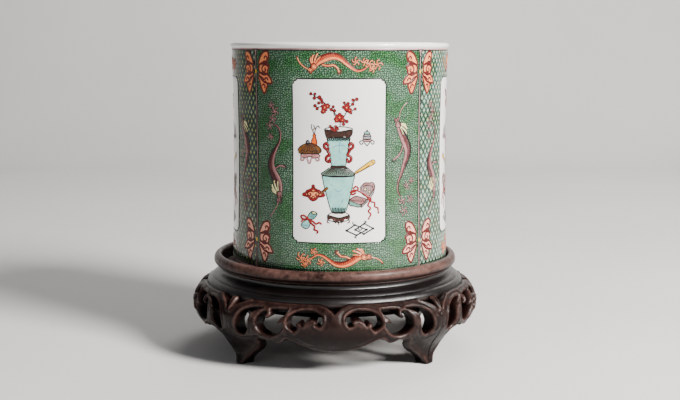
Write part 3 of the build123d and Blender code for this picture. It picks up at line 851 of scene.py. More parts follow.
def vase_of_prunus(p, body, collar):
    """A beaker-necked vase with scroll handles and a spray of red blossom, on its small stand."""
    for line in ([(0.4, 71), (0.8, 77), (-1.0, 82), (-5.4, 86.6), (-9.6, 91.0), (-14.4, 94.4),
                  (-19.8, 98.0)], [(0.8, 77), (3.4, 81), (5.4, 85.0), (8.4, 89.4), (12.2, 93.8)],
                 [(-1.0, 82), (-3.6, 83.4), (-3.4, 88.0)], [(-9.6, 91), (-15.2, 88.6), (-17.4, 89.4)],
                 [(5.4, 85), (9.4, 86.0), (11.4, 87.2)]):
        p.line(line, 0.8, "black", 1)
    dots = [(-20.9, 98.6, 1.1), (-17.8, 98.4, 1.0), (-18.3, 95.4, 1.2), (-14.4, 96.0, 1.5),
            (-13.0, 94.2, 1.2), (-15.0, 91.8, 1.1), (-17.8, 89.8, 1.2), (-16.2, 87.6, 1.1),
            (-12.4, 92.4, 1.2), (-12.0, 85.2, 1.3), (-4.2, 89.2, 1.0), (-5.6, 87.0, 1.2), (-3.2, 86.2, 1.1),
            (4.0, 92.0, 1.0), (3.4, 88.8, 1.2), (6.8, 91.4, 1.2), (10.4, 94.0, 1.2), (13.2, 94.6, 1.3),
            (10.2, 91.0, 1.2), (12.0, 87.4, 1.1), (8.8, 84.6, 1.1), (5.8, 78.2, 1.3), (3.4, 76.2, 1.2),
            (-2.6, 80.0, 1.2)]
    for fx, fz, r in ((-6.4, 74.6, 0.9), (-5.0, 72.6, 1.2), (-3.0, 71.8, 1.2), (-1.2, 72.8, 1.1),
                      (-2.4, 74.4, 0.9)):
        p.dot(fx, fz, r, "crimson", 8, 1.0, "red", 0.5)
    for fx, fz, r in dots:
        p.dot(fx, fz, 0.86 * r, "crimson", 3, 1.0, "red", 0.5)
    for fx, fz, r in ((-10.6, 88.6, 3.0), (-11.6, 85.8, 2.2), (-8.4, 89.6, 2.2), (5.6, 88.4, 2.9),
                      (7.8, 86.4, 2.2), (0.4, 81.2, 3.4), (-1.6, 79.2, 2.2), (2.6, 79.2, 2.2)):
        blossom(p, fx, fz, r, "crimson", fx * 33)
    # neck, band, collar and body
    p.fill([(-9.0, 65.8), (-7.8, 59), (-6.2, 50), (-5.4, 44.6), (5.0, 44.6), (5.6, 50), (7.0, 59),
            (8.2, 65.8)], body, 1, "black", 0.4, False)
    p.fill([(-10.8, 72.4), (-10.2, 69.4), (-8.7, 65.6), (-4.0, 66.8), (0, 65.9), (4.0, 66.8), (8.2, 65.6),
            (9.8, 69.4), (10.4, 72.4), (0, 70.6)], "umber", 2, "black", 0.5, False)
    p.fill([(-10.7, 72.5), (-6, 73.9), (0, 74.3), (6, 73.9), (10.3, 72.5), (6, 71.2), (0, 70.8),
            (-6, 71.2)], "white", 3, "black", 0.55)
    for k in range(-5, 6):
        p.line([(k * 1.62 - 0.8, 66.2), (k * 1.5, 64.0 - 0.3 * (k % 2)), (k * 1.54 + 0.8, 66.2)], 0.60,
               "black", 4, BLUNT)
    p.fill([(-5.9, 45.0), (5.3, 45.0), (8.0, 42.4), (12.0, 39.2), (12.0, 37.6), (4.0, 36.9), (-5.0, 36.9),
            (-13.0, 38.0), (-13.2, 39.4), (-9.0, 42.4)], collar, 2, "black", 0.55, False)
    p.fill([(-5.9, 45.2), (5.3, 45.2), (6.6, 43.6), (-7.2, 43.6)], "umber", 4, "black", 0.3, False)
    for k in range(-7, 8):
        p.line([(k * 0.82 - 0.3, 43.4), (k * 1.2 - 0.4, 41.0), (k * 1.62 - 0.5, 38.6)], 0.36,
               "black" if k % 2 else "umber", 5)
    p.line([(-13.0, 38.2), (-4.0, 37.2), (4.0, 37.2), (12.0, 37.9)], 0.75, "black", 6, BLUNT)
    p.fill([(-12.7, 37.6), (-11.2, 30.6), (-8.8, 21.4), (-6.6, 13.4), (-5.0, 9.6), (4.4, 9.6), (6.0, 13.4),
            (8.0, 21.4), (10.2, 30.6), (11.5, 37.6)], body, 1, "black", 0.42, False)
    for line in ([(-5.4, 58.6), (-1.0, 60.4), (4.6, 60.6)], [(0.8, 63.0), (0.2, 58.0), (0.8, 54.6)],
                 [(-3.4, 28.4), (-0.6, 26.0), (2.6, 27.4)], [(3.4, 20.6), (1.8, 17.8)],
                 [(-6.0, 32.0), (-4.6, 29.8)]):
        p.line(line, 0.26, "blue", 4)
    for k in range(-4, 5):
        p.line([(k * 1.12 - 0.5, 10.4), (k * 1.16 - 0.4, 12.2), (k * 1.24 + 0.1, 14.2 - 0.4 * (k % 2))],
               0.85, "black", 7, (1.0, 0.5))
    p.line([(-5.4, 10.1), (4.8, 10.1)], 0.8, "black", 7, BLUNT)
    for sign in (-1, 1):
        upper = [(7.0, 58.8), (8.6, 57.6), (10.4, 58.6), (10.8, 60.6), (9.4, 62.0), (7.8, 60.9),
                 (8.6, 59.6)]
        stem = [(8.8, 58.0), (8.0, 56.0), (6.8, 54.2), (6.6, 52.4)]
        lower = [(6.6, 53.0), (8.2, 52.6), (9.4, 51.0), (9.0, 49.0), (7.2, 48.2), (6.2, 49.6), (7.2, 50.6)]
        for run in (upper, stem, lower):
            p.line([(sign * a - 0.3, b) for a, b in run], 2.5, "red", 3, (1, 0.8))
            p.line([(sign * a - 0.3, b) for a, b in run], 0.9, "crimson", 8, (1, 0.5))
    # its little stand
    p.fill([(-8.4, 8.4), (-5.0, 10.4), (4.4, 10.4), (7.6, 8.4), (0, 6.0)], "white", 2, "black", 0.45, False)
    p.fill([(-8.6, 8.2), (0, 5.8), (7.8, 8.2), (7.2, 4.8), (4.4, 5.2), (2.2, 1.8), (0, 4.0), (-2.8, 1.8),
            (-5.2, 5.2), (-8.0, 4.8)], "umber", 3, "black", 0.5, False)
    for run in ([(-8.0, 5.6), (-8.6, 3.0), (-6.8, 2.4)], [(7.2, 5.6), (7.8, 3.0), (6.2, 2.4)],
                [(-0.2, 4.6), (-0.2, 0.8)], [(-5.6, 6.2), (-2.6, 4.2)], [(5.2, 6.2), (2.0, 4.2)]):
        p.line(run, 0.8, "red", 5)


def domed_box(p):
    """A brown domed dish on a scrolled stand, with an orange bottle and a wisp of smoke behind."""
    p.fill([(1.8, 12.6), (5.2, 12.6), (5.5, 16.4), (4.6, 18.6), (4.7, 20.6), (2.7, 20.6), (2.8, 18.6),
            (1.7, 16.4)], "orange", 1, "red", 0.5)
    for line in ([(3.4, 20.6), (2.6, 23.4), (1.4, 26.2), (1.8, 28.4)],
                 [(3.8, 20.6), (4.4, 23.6), (5.4, 26.0)], [(4.4, 25.0), (6.4, 27.0), (8.0, 25.4)],
                 [(2.6, 23.6), (3.8, 25.4), (3.2, 28.0)]):
        p.line(line, 0.5, "umber", 2)
    p.dot(-1.4, 14.6, 1.3, "brown", 1, 1.2, "black", 0.6)
    p.dot(-1.4, 14.8, 0.6, "blue", 6)
    p.fill([(-9.2, 8.2), (-8.2, 10.8), (-4.4, 13.2), (0, 14.2), (4.4, 13.2), (8.0, 10.8), (9.0, 8.2),
            (6.8, 6.4), (4.4, 7.0), (2.0, 5.8), (-0.6, 6.8), (-3.2, 5.8), (-5.4, 6.8), (-7.6, 6.2)],
           "brown", 2, "black", 0.5)
    for k in range(-3, 4):
        p.line([(k * 0.7, 13.4), (k * 1.5, 10.6), (k * 2.3, 7.6)], 0.3, "umber", 4)
    p.line([(-7.6, 7.6), (-5.4, 8.6), (-3.2, 7.4), (-0.6, 8.5), (2.0, 7.4), (4.4, 8.6), (7.0, 7.8)], 0.7,
           "umber", 5)
    p.fill([(-5.8, 6.0), (6.4, 6.0), (7.4, 4.0), (3.2, 3.0), (0.4, 4.2), (-3.2, 3.0), (-6.6, 4.0)], "pink",
           1, "umber", 0.7)
    for line in ([(-6.2, 4.4), (-6.8, 1.6), (-5.0, 1.2), (-4.4, 2.8)],
                 [(6.8, 4.4), (7.2, 1.6), (5.4, 1.2), (4.8, 2.8)],
                 [(-3.4, 3.4), (-1.6, 2.2), (-0.8, -0.6), (0.6, -0.4), (1.2, 2.2), (3.2, 3.4)],
                 [(-4.6, 5.2), (-2.6, 4.2), (-1.2, 5.2)], [(5.0, 5.2), (3.0, 4.2), (1.6, 5.2)]):
        p.line(line, 1.3, "umber", 4)
        p.line(line, 0.5, "pink", 8)


def censer(p):
    """A little lidded jar on a curly stand, mostly in black line."""
    p.fill([(-2.2, 5.0), (-3.0, 7.0), (-1.8, 8.9), (1.8, 8.9), (3.0, 7.0), (2.2, 5.0)], "grey", 1, "black",
           0.7)
    p.fill([(-2.2, 9.0), (-1.2, 10.6), (1.2, 10.6), (2.2, 9.0)], "aqua", 2, "black", 0.7)
    p.dot(0, 11.5, 0.8, "black", 4)
    p.fill([(-4.0, 4.2), (0, 5.2), (4.0, 4.2), (0, 3.2)], "pink", 1, "black", 0.7)
    for line in ([(-4.0, 4.2), (-5.6, 3.2), (-4.8, 1.4), (-3.4, 1.8), (-3.8, 2.8)],
                 [(4.0, 4.2), (5.6, 3.2), (4.8, 1.4), (3.4, 1.8), (3.8, 2.8)],
                 [(-3.0, 3.4), (-1.2, 1.6), (0, 0.2), (1.2, 1.6), (3.0, 3.4)],
                 [(-2.6, 7.6), (-0.8, 7.0), (0.8, 7.6), (2.6, 7.0)]):
        p.line(line, 0.9, "black", 3)
    p.dot(-1.0, 6.4, 0.45, "blue", 4)
    p.dot(1.0, 6.2, 0.45, "blue", 4)


def horn(p):
    """A yellow horn lying aslant."""
    p.fill([(-8.4, -4.9), (-8.0, -5.4), (-3.0, -3.3), (3.4, 0.0), (7.6, 2.0), (8.6, 4.0), (7.4, 5.2),
            (5.6, 4.9), (0.4, 1.6), (-5.0, -2.2)], "yellow", 1, "umber", 0.45)
    p.line([(-6.6, -4.5), (-1.0, -1.9), (4.6, 1.6)], 0.4, "brown", 3)
    p.line([(5.8, 4.6), (6.2, 3.2), (7.6, 2.6)], 0.4, "brown", 3)


def ruyi(p):
    """A ruyi sceptre: a red cloud-shaped head with two volutes, and a brown handle."""
    p.line([(5.6, 0.6), (8.2, 3.0), (10.8, 5.2)], 2.6, "umber", 1, BLUNT)
    p.line([(5.6, 0.6), (8.2, 3.0), (10.6, 5.0)], 1.5, "brown", 4, BLUNT)
    cloud = [(-0.2, 5.6), (-1.6, 4.6), (-3.2, 3.6), (-5.4, 2.8), (-6.6, 1.0), (-8.2, 0.6), (-8.6, -1.0),
             (-6.6, -1.8), (-4.2, -2.4), (-3.0, -4.0), (-0.4, -5.2), (2.4, -4.0), (3.6, -2.4), (6.4, -2.0),
             (8.4, -1.2), (8.0, 0.6), (6.2, 1.0), (5.0, 2.8), (2.8, 3.6), (1.2, 4.6)]
    p.fill(cloud, "crimson", 1, "red", 0.6)
    p.fill([(a * 0.72, b * 0.66 + 0.1) for a, b in cloud], "pale_coral", 4, "red", 0.4)
    for sign in (-1, 1):
        p.line([(-0.2, 1.6), (sign * 2.0 - 0.2, 2.2), (sign * 4.2 - 0.2, 1.0), (sign * 4.0 - 0.2, -0.8),
                (sign * 2.4 - 0.2, -1.2), (sign * 1.8 - 0.2, -0.1), (sign * 2.8 - 0.2, 0.4)], 1.2, "red", 7,
               (1, 0.8))
    p.line([(-1.6, -3.0), (-0.2, -1.4), (1.2, -3.0)], 0.9, "red", 7, BLUNT)
    p.dot(-0.3, 6.0, 1.1, "crimson", 3, 1.0, "red", 0.6)


def brocade_box(p):
    """A brocade case lying open in perspective, tied with a fluttering red ribbon."""
    p.fill([(-1.2, 6.0), (2.0, 8.8), (8.6, 8.8), (9.8, 5.4), (5.0, -2.0), (-0.8, 0.8)], "pale_aubergine", 1,
           "umber", 0.8, False)
    p.fill([(9.8, 5.4), (9.8, 3.0), (5.2, -4.4), (5.0, -2.0)], "grey", 2, "umber", 0.7, False)
    p.fill([(-9.8, -4.0), (-5.6, -0.6), (4.0, -3.2), (-0.6, -8.0)], "pale_aubergine", 2, "umber", 0.8,
           False)
    p.fill([(-9.8, -4.0), (-0.6, -8.0), (-0.8, -9.6), (-9.4, -7.6)], "sea", 2, "umber", 0.8, False)
    p.fill([(4.0, -3.2), (-0.6, -8.0), (-0.8, -9.6), (4.0, -5.2)], "grey", 3, "umber", 0.7, False)
    p.line([(0.4, 5.8), (3.0, 7.0), (7.4, 6.6), (8.2, 4.8)], 0.7, "umber", 5)
    for k in range(6):
        p.line([(-0.4 + k * 1.5, 7.0 - 0.1 * k), (0.4 + k * 1.2, 1.6 - 0.5 * k)], 0.26, "grey", 4)
        p.line([(-8.6 + k * 1.7, -3.6 + 0.1 * k), (-5.6 + k * 1.4, -4.8 - 0.1 * k)], 0.28, "red", 5)
    p.dot(2.4, 4.0, 1.0, "cream", 5, 1.0, "black", 0.25)
    p.dot(5.6, 2.2, 0.9, "cream", 5, 1.0, "black", 0.25)
    for line in ([(-7.0, 4.6), (-4.6, 6.4), (-3.0, 4.4), (-5.6, 2.6), (-8.0, 2.0), (-7.4, 0.2),
                  (-4.4, 1.6)], [(-3.4, 3.2), (0.6, 1.2), (3.4, -1.0), (6.4, -2.6), (7.0, -5.4),
                                 (9.6, -6.2), (9.8, -9.2), (12.0, -10.2), (12.6, -13.2)],
                 [(3.2, -1.0), (5.6, -4.6), (4.4, -8.0), (6.4, -10.2), (4.8, -12.6), (6.6, -14.8),
                  (5.2, -17.6)], [(-3.4, 3.4), (-6.4, 3.4), (-9.4, 1.8)]):
        p.line(line, 1.5, "crimson", 6, (0.9, 0.6))
    p.dot(12.6, -13.9, 0.9, "crimson", 6)
    p.dot(5.0, -18.2, 0.9, "crimson", 6)


def scroll_rolls(p):
    """A rolled pair of scrolls tied in the middle with a red ribbon."""
    p.fill([(-1.6, 1.6), (0.6, 6.2), (2.6, 7.0), (5.4, 6.0), (5.8, 4.4), (2.8, 1.2)], "sea", 1, "black",
           0.42)
    p.fill([(1.4, 5.8), (3.0, 6.8), (5.3, 6.0), (4.4, 4.9)], "cream", 3, "black", 0.34)
    p.fill([(-1.8, 0.6), (-5.4, -1.8), (-6.4, -4.0), (-3.0, -6.2), (-0.6, -5.2), (0.8, -1.0)], "aqua", 1,
           "black", 0.42)
    p.line([(-5.8, -2.6), (-3.8, -3.8), (-0.6, -3.2)], 0.5, "blue", 3)
    p.line([(0.2, 3.2), (2.6, 3.8), (4.4, 3.6)], 0.5, "blue", 3)
    for line in ([(-0.6, 0.6), (-4.0, 3.6), (-6.6, 3.2), (-5.4, 1.2), (-1.8, 0.8), (-5.0, 0.4),
                  (-6.4, -1.4)], [(-0.6, 0.6), (2.8, -0.6), (5.0, -2.4), (7.4, -1.4), (9.6, -2.6)],
                 [(-0.4, 0.2), (2.2, -2.8), (4.2, -4.4), (3.6, -6.6), (6.4, -7.8), (5.6, -9.8)],
                 [(-1.8, 2.6), (-0.4, 0.4), (0.6, -1.8)]):
        p.line(line, 1.5, "crimson", 6, (0.9, 0.6))


def linked_lozenges(p):
    """Two interlaced open lozenges in black line, knotted at their corners."""
    for corners in ([(-10.2, -0.2), (-3.8, 4.0), (5.2, 0.2), (-2.6, -3.8), (-10.2, -0.2)],
                    [(-3.6, 0.4), (3.4, 4.9), (10.2, 0.9), (3.0, -3.0), (-3.6, 0.4)]):
        p.line(corners, 1.2, "black", 3, BLUNT, False)
    for cx, cz in ((-10.2, -0.2), (-3.8, 4.0), (5.2, 0.2), (-2.6, -3.8), (3.4, 4.9), (10.2, 0.9),
                   (3.0, -3.0), (-3.6, 0.4)):
        p.dot(cx, cz, 1.0, "black", 4)
    for line in ([(-2.6, -3.8), (-4.0, -5.4), (-2.2, -5.8)], [(3.4, 4.9), (5.0, 6.2), (3.0, 6.6)],
                 [(-3.8, 4.0), (-5.4, 5.0), (-5.0, 6.4)], [(0.6, 2.6), (1.4, 1.0), (0.0, -0.2),
                                                           (-1.4, 1.4)]):
        p.line(line, 0.8, "black", 3)


# the small treasures and their places, as (along from the reserve's middle, up from its bottom)
TREASURES = ((domed_box, -22.3, 60.6), (censer, 21.0, 72.6), (horn, 18.8, 56.9), (ruyi, -19.2, 36.6),
             (brocade_box, 17.3, 36.2), (scroll_rolls, -22.4, 16.6), (linked_lozenges, 15.6, 9.6))
# colours of the vase's body and collar on the four panels
VASE_COLOURS = (("aqua", "sage"), ("cream", "pale_aubergine"), ("aqua", "blue"), ("sea", "brown"))


def antiques(p, shift, variant):
    """The vase and scattered treasures of one reserve; two of the four are mirrored."""
    flip = 1 if variant in (0, 3) else -1
    p.at(shift - 0.1 * flip, RESERVE[1] + 12.8)
    vase_of_prunus(p, *VASE_COLOURS[variant])
    for draw, x, z in TREASURES:
        p.at(shift + x * flip, RESERVE[1] + z, flip)
        draw(p)
    p.at()


# the dragons, as (distance from the panel's middle, height above the pot's foot), head first;
# a spray is (place, heading, size)
TOP_DRAGON = {"spine": [(-18.6, 162.2), (-15.5, 165.3), (-11.3, 167.7), (-7.1, 169.2), (-2.9, 169.4),
                        (1.3, 167.8), (5.5, 164.2), (9.7, 160.8), (13.9, 158.9), (18.1, 160.1),
                        (21.3, 162.4)], "width": [3.6, 4.6, 5.4, 5.0, 4.2, 3.2, 2.4, 1.7, 1.2, 0.7],
              "whisker": [(-22.4, 159.8), (-26.2, 161.8), (-29.6, 165.0), (-31.6, 168.8)],
              "leg": [(-12.6, 163.4), (-8.2, 162.6), (-4.0, 163.0), (-1.2, 160.8), (-0.2, 158.4)],
              "sprays": [(12.4, 165.4, 125, 4.4), (18.6, 165.2, 60, 4.0), (22.4, 163.6, 20, 5.0),
                         (28.4, 163.4, 40, 5.4), (24.6, 160.6, -40, 3.6)]}
LOW_DRAGON = {"spine": [(18.6, 20.0), (15.0, 19.9), (11.0, 17.8), (6.6, 15.2), (2.0, 14.0), (-3.0, 14.8),
                        (-7.5, 17.6), (-11.5, 20.4), (-15.5, 21.6), (-19.0, 20.0), (-22.0, 17.6)],
              "width": [3.6, 4.8, 5.2, 4.6, 4.0, 3.0, 2.2, 1.6, 1.1, 0.7],
              "whisker": [(22.6, 19.6), (26.6, 18.8), (30.6, 17.0), (33.0, 14.6)],
              "leg": [(8.8, 18.2), (5.0, 20.2), (1.2, 20.8), (-1.2, 23.4)],
              "sprays": [(-13.4, 16.2, -120, 4.0), (-19.0, 23.6, 100, 3.6), (-23.4, 17.0, 200, 5.0),
                         (-28.6, 18.6, 160, 5.4), (-26.0, 14.0, 230, 3.4)]}
RISING_DRAGON = {"spine": [(45.8, 118.4), (48.4, 112.0), (52.0, 105.4), (54.2, 99.6), (53.6, 94.2),
                           (51.3, 88.3), (48.5, 81.0), (46.2, 75.4), (45.4, 69.5), (47.6, 64.4)],
                 "width": [3.8, 5.4, 7.0, 6.8, 5.6, 4.2, 2.6, 1.5, 1.2, 0.9],
                 "whisker": [(46.4, 122.6), (47.2, 128.0), (50.0, 132.4), (53.6, 135.2)],
                 "leg": [(50.4, 103.4), (48.2, 98.2), (45.4, 94.6), (42.4, 92.4)],
                 "sprays": [(53.2, 71.6, 60, 4.4), (56.2, 61.4, 20, 4.6), (50.8, 53.4, -70, 5.2),
                            (49.2, 61.2, -100, 4.6), (57.4, 75.6, 80, 3.2)]}
FALLING_DRAGON = {"spine": [(-46.8, 66.0), (-47.0, 71.6), (-49.6, 77.4), (-52.8, 83.2), (-54.0, 88.8),
                            (-52.6, 94.8), (-49.4, 100.9), (-46.4, 106.2), (-45.8, 112.1), (-47.6, 116.4),
                            (-51.0, 118.6)], "width": [4.2, 6.4, 8.2, 7.6, 6.4, 4.8, 3.0, 1.7, 1.3, 1.1,
                                                       0.9], "whisker": [(-47.4, 60.6), (-49.0, 56.4),
                                                                         (-52.4, 51.4), (-54.6, 48.0)],
                  "leg": [(-50.2, 85.2), (-46.4, 87.6), (-42.6, 87.0)],
                  "sprays": [(-52.4, 122.4, 110, 4.6), (-54.8, 117.4, 190, 4.6), (-50.4, 128.2, 80, 4.8),
                             (-53.4, 132.6, 120, 4.2), (-54.0, 109.4, 230, 3.8)]}
DRAGON_ROOM = 27.5      # width beside the reserve for which the two upright dragons are drawn


def paint_panel(side, palette, variant):
    """Ground, frame lines, dragons, scroll wings and treasures of one panel."""
    start, stop = SEAMS[side]
    middle = (start + stop) / 2
    half = math.radians((stop - start) / 2) * ARC_R - 0.75
    shift = SHIFT[side]
    if side in TRELLIS:
        ground = trellis_ground("trellis_" + side, variant + 1, *TRELLIS[side])
    else:
        ground = cell_ground("cells_" + side, variant + 1)
    ground_skin("ground_" + side, middle, half, shift, ground)
    p = Painting(middle, SKIN)
    p.line(panel_edge(half), 1.0, "black", 2, BLUNT, False)
    wide = half - 1.6
    p.line([(-wide, BAND_LOW + 1.7), (wide, BAND_LOW + 1.7)], 0.26, "black", 2, BLUNT, False)
    p.line(shut(reserve_loop(0.1) + np.array([shift, 0])), 0.62, "black", 3, BLUNT, False)
    coral = ("coral", "pale_coral", "red", "pale_coral")
    dark = ("aubergine", "pale_aubergine", "black", "cream")
    dragon(p, TOP_DRAGON, 1, coral, shift)
    dragon(p, LOW_DRAGON, -1, coral, shift)
    stretch = (half - RESERVE[0] - 3.0) / DRAGON_ROOM
    dragon(p, RISING_DRAGON, 1, dark, shift, stretch, RESERVE[0])
    dragon(p, FALLING_DRAGON, 1, dark, shift, stretch, -RESERVE[0])
    for sign in (-1, 1):
        for top, colour in ((BAND_HIGH - 0.4, "pale_coral"), (BAND_LOW + 36.4, "shell")):
            wing(p, sign * half, top, sign, colour)
            p.dot(sign * (half + 0.2), top - 15.6, 0.5, "yellow", 3, 3.6)
    p.base = 0.0
    antiques(p, shift, variant)
    p.finish("painting_" + side, palette)


def make_seams(palette):
    """Pink bands between the panels, flaring at their ends, and round the pot above and below."""
    p = Painting(0.0)
    for _, angle in SEAMS.values():
        x = math.radians(angle) * ARC_R
        p.line([(x, BAND_LOW - 1), (x, BAND_HIGH + 1)], 1.15, "pale_pink", 0, BLUNT, False)
        for z, up in ((BAND_LOW, 1), (BAND_HIGH, -1)):
            flare = [(3.3, -0.4), (1.1, 1.7), (0.5, 4.4)]
            p.fill([(x - flare[0][0], z + flare[0][1] * up)] + [(x + a, z + b * up) for a, b in flare]
                   + [(x - a, z + b * up) for a, b in flare[:0:-1]], "pale_pink", 5, "black", 0.36, False)
    for z, width, colour in ((BAND_HIGH + 0.85, 1.0, "pale_pink"), (BAND_HIGH + 1.60, 0.65, "umber"),
                             (BAND_LOW - 1.2, 1.9, "pale_pink"), (BAND_LOW - 2.4, 0.4, "black"),
                             (BAND_LOW - 3.4, 0.3, "black")):
        p.line([(0.0, z), (2 * math.pi * ARC_R, z)], width, colour, 0, BLUNT, False)
    p.finish("painting_bands", palette)


def make_painting():
    palette = make_palette()
    make_seams(palette)
    for variant, side in enumerate(SEAMS):
        paint_panel(side, palette, variant)


# --- turned parts of the stand -----------------------------------------------------------------
def stand_wobble(angle, _):
    """Slight out-of-round and rubbed hollows of old turned wood, as changes in radius and height."""
    return 0.12 * np.sin(3 * angle + 1.1) + 0.05 * np.sin(11 * angle), \
        0.10 * np.sin(2 * angle + 0.4) + 0.05 * np.sin(7 * angle + 2.0)


def make_rim(woods):
    """The turned rim: spreading foot, cove, thin fillet and bead round the dish, the bead and fillet paler
    from wear and painted highlight.
    """
    def up(*points):
        return [(r, RIM_LOW + z) for r, z in points]

    dish, bead_r, cove_r, fillet_r, ledge_r = 92.5, RIM_R - 1.7, 95.0, 96.0, 82.0
    foot = smooth(up((RIM_R - 0.1, 0.1), (99.2, 1.5), (97.0, 2.8), (94.9, 3.8)), 0.35)
    cove = smooth(up((94.9, 3.8), (93.7, 4.6), (93.3, 6.0), (93.8, 7.4), (cove_r, 8.2)), 0.3)
    fillet = smooth(up((cove_r, 8.2), (fillet_r, 8.4), (96.4, 9.0), (fillet_r, 9.6)), 0.2)
    bead = smooth(up((fillet_r, 9.6), (97.6, 10.1), (bead_r - 0.1, 12.0), (bead_r - 0.1, 14.2),
                     (98.2, 16.2)) + [(96.9, RIM_TOP - 0.9), (94.9, RIM_TOP - 0.15), (93.6, RIM_TOP - 0.6),
                                      (92.9, RIM_TOP - 1.7), (dish, RIM_TOP - 3.4)], 0.4)
    inner = smooth([(dish, RIM_TOP - 5), (dish, RIM_LOW + 3.0)], 1.2)
    ledge = up((ledge_r, 3.0), (ledge_r, 0.1), (92.0, 0.1))
    profile = np.vstack([foot[:-1], cove[:-1], fillet[:-1], bead, inner, ledge])
    r, z = profile[:, 0], profile[:, 1] - RIM_LOW
    outer = np.clip((r - 92.6) / 3.0, 0, 1)
    # paler bands on the bead's crown, on its front face and on the thin fillet below it: partly wear, partly
    # painted highlight where these face the lamp
    wear_and_glint = hump(z, 17.6, 2.6) + (0.8 * hump(z, 14.0, 2.0) + 0.5 * hump(z, 9.0, 0.5)) * outer
    wear_and_glint = np.clip(wear_and_glint * (r > 92.4), 0, 1)
    dark = (z < 8.0).astype(int)
    return lathe("rim_bead", profile, woods, 0.0, 480, stand_wobble, wear_and_glint, face_material=dark)


def make_neck(wood):
    """The dark polished cushion moulding under the rim."""
    section = np.vstack([[(88.0, 0.0), (96.0, 0.0), (NECK_R, 0.0)],
                         smooth([(NECK_R, 2.8), (104.2, 4.4), (103.2, 6.0), (101.9, 7.2), (100.6, 7.9)],
                                0.4), [(88.0, 7.9), (82.3, 7.9), (82.0, 7.6), (82.0, 0.3), (82.3, 0.0)]])
    # a paler line on the cushion's outermost edge: partly wear, partly painted highlight
    wear_and_glint = 0.5 * hump(section[:, 1], 2.6, 0.7) * (section[:, 0] > 103)
    return lathe("cushion_moulding", section + np.array([0, NECK_LOW]), [wood], 0.0, 480, stand_wobble,
                 wear_and_glint)


# --- the carved quarters -----------------------------------------------------------------------
LAY_R = 114.0           # radius at which the carving is laid flat
LEG = 45.0              # degrees from the middle of a quarter to the joint in its leg
JOINT_GAP = 0.02        # degrees kept free at that joint
CARVING_TOP = 54.0
SOLE_FROM = 42.9        # degrees at which the leg's sole begins
SLOT_FROM = 43.5        # degrees at which the slot beside the leg's top ends
PLAN_STEP = 0.8
WALL_ROWS = 5           # strips of faces through the thickness
# outer face, as (height, radius); inner face, as (height on the outer face, radius, height of that point)
OUTER_FACE = [(0.0, 103.0), (0.9, 104.3), (3.0, 104.2), (8.0, 102.7), (14.2, 104.3), (19.8, 108.2),
              (25.4, 112.3), (32.0, 115.2), (39.0, 115.85), (45.0, 114.3), (49.5, 111.6),
              (52.4, 108.8), (54.0, 106.4)]
INNER_FACE = [(0.0, 92.0, 0.0), (8.0, 90.8, 8.0), (18.0, 94.2, 18.0), (28.5, 102.2, 28.5),
              (36.6, 104.0, 36.6), (40.0, 103.2, 40.0), (43.4, 101.0, 43.4), (49.0, 101.0, 49.0),
              (50.3, 101.2, 49.8), (51.0, 104.7, 49.9), (52.0, 104.75, 51.4), (54.0, 104.85, 54.0)]
# section of the shelf behind the piercings, which carries the moulding
SHELF = [(98.0, 44.3), (94.5, 45.0), (94.0, 45.4), (94.0, 49.6), (94.3, 49.95), (101.2, 49.95),
         (101.2, 43.2)]
# each outline as (degrees from the middle of the quarter, height); a list of smooth runs
LOWER_EDGE = [[(0, 17.4), (5.0, 18.1), (9.5, 20.4), (13.5, 24.0), (16.6, 27.0), (18.8, 28.0)],
              [(18.8, 28.0), (20.2, 25.0), (22.2, 23.2), (24.2, 24.2), (25.7, 26.2)],
              [(25.7, 26.2), (27.6, 25.0), (29.7, 25.6), (31.3, 24.2), (32.6, 20.6), (33.2, 17.0),
               (35.0, 13.2), (38.4, 9.4), (41.0, 6.3), (42.4, 3.2), (42.9, 0.0)]]
TOP_EDGE = [[(36.4, 54.0), (20.0, 54.0), (6.0, 54.0)], [(6.0, 54.0), (4.5, 53.3), (2.4, 51.6), (0, 47.8)]]
LEG_SLOT = [[(43.5, 54.0), (43.5, 51.5), (44.1, 45.3)],
            [(44.1, 45.3), (42.6, 48.9), (40.4, 51.2), (38.2, 52.9), (36.4, 54.0)]]
CRESCENT = [[(5.5, 39.2), (4.4, 42.4), (4.8, 47.2), (8.8, 50.5), (13.6, 49.9), (16.8, 46.4),
             (17.8, 41.6), (17.3, 37.8), (15.2, 34.9)],
            [(15.2, 34.9), (14.0, 37.4), (14.4, 40.4), (13.0, 41.4), (11.9, 39.4)],
            [(11.9, 39.4), (11.3, 41.8), (9.0, 44.1), (6.8, 43.4), (6.3, 41.2), (6.9, 40.0), (5.5, 39.2)]]
SCROLL = [[(18.0, 50.3), (18.9, 47.2), (20.6, 44.4), (21.6, 41.4), (21.9, 39.9)],
          [(21.9, 39.9), (20.4, 40.6), (19.4, 39.3), (20.2, 35.0), (22.4, 31.0), (25.0, 29.5), (28.6, 31.2),
           (30.7, 36.0), (30.7, 41.8), (29.4, 46.0), (27.9, 48.2), (26.6, 47.4), (26.9, 45.2),
           (27.6, 44.2)], [(27.6, 44.2), (26.2, 43.4), (24.9, 44.9), (24.7, 47.2), (25.3, 49.8)],
          [(25.3, 49.8), (22.0, 50.5), (18.0, 50.3)]]
LEG_CRESCENT = [[(28.6, 50.0), (33.0, 49.9), (37.6, 47.0), (40.1, 41.6), (40.9, 34.4), (40.4, 29.4),
                 (38.6, 26.6)], [(38.6, 26.6), (36.4, 28.8), (35.0, 33.0), (34.6, 37.4)],
                [(34.6, 37.4), (34.5, 42.0), (33.0, 46.6), (30.8, 48.8), (28.6, 50.0)]]
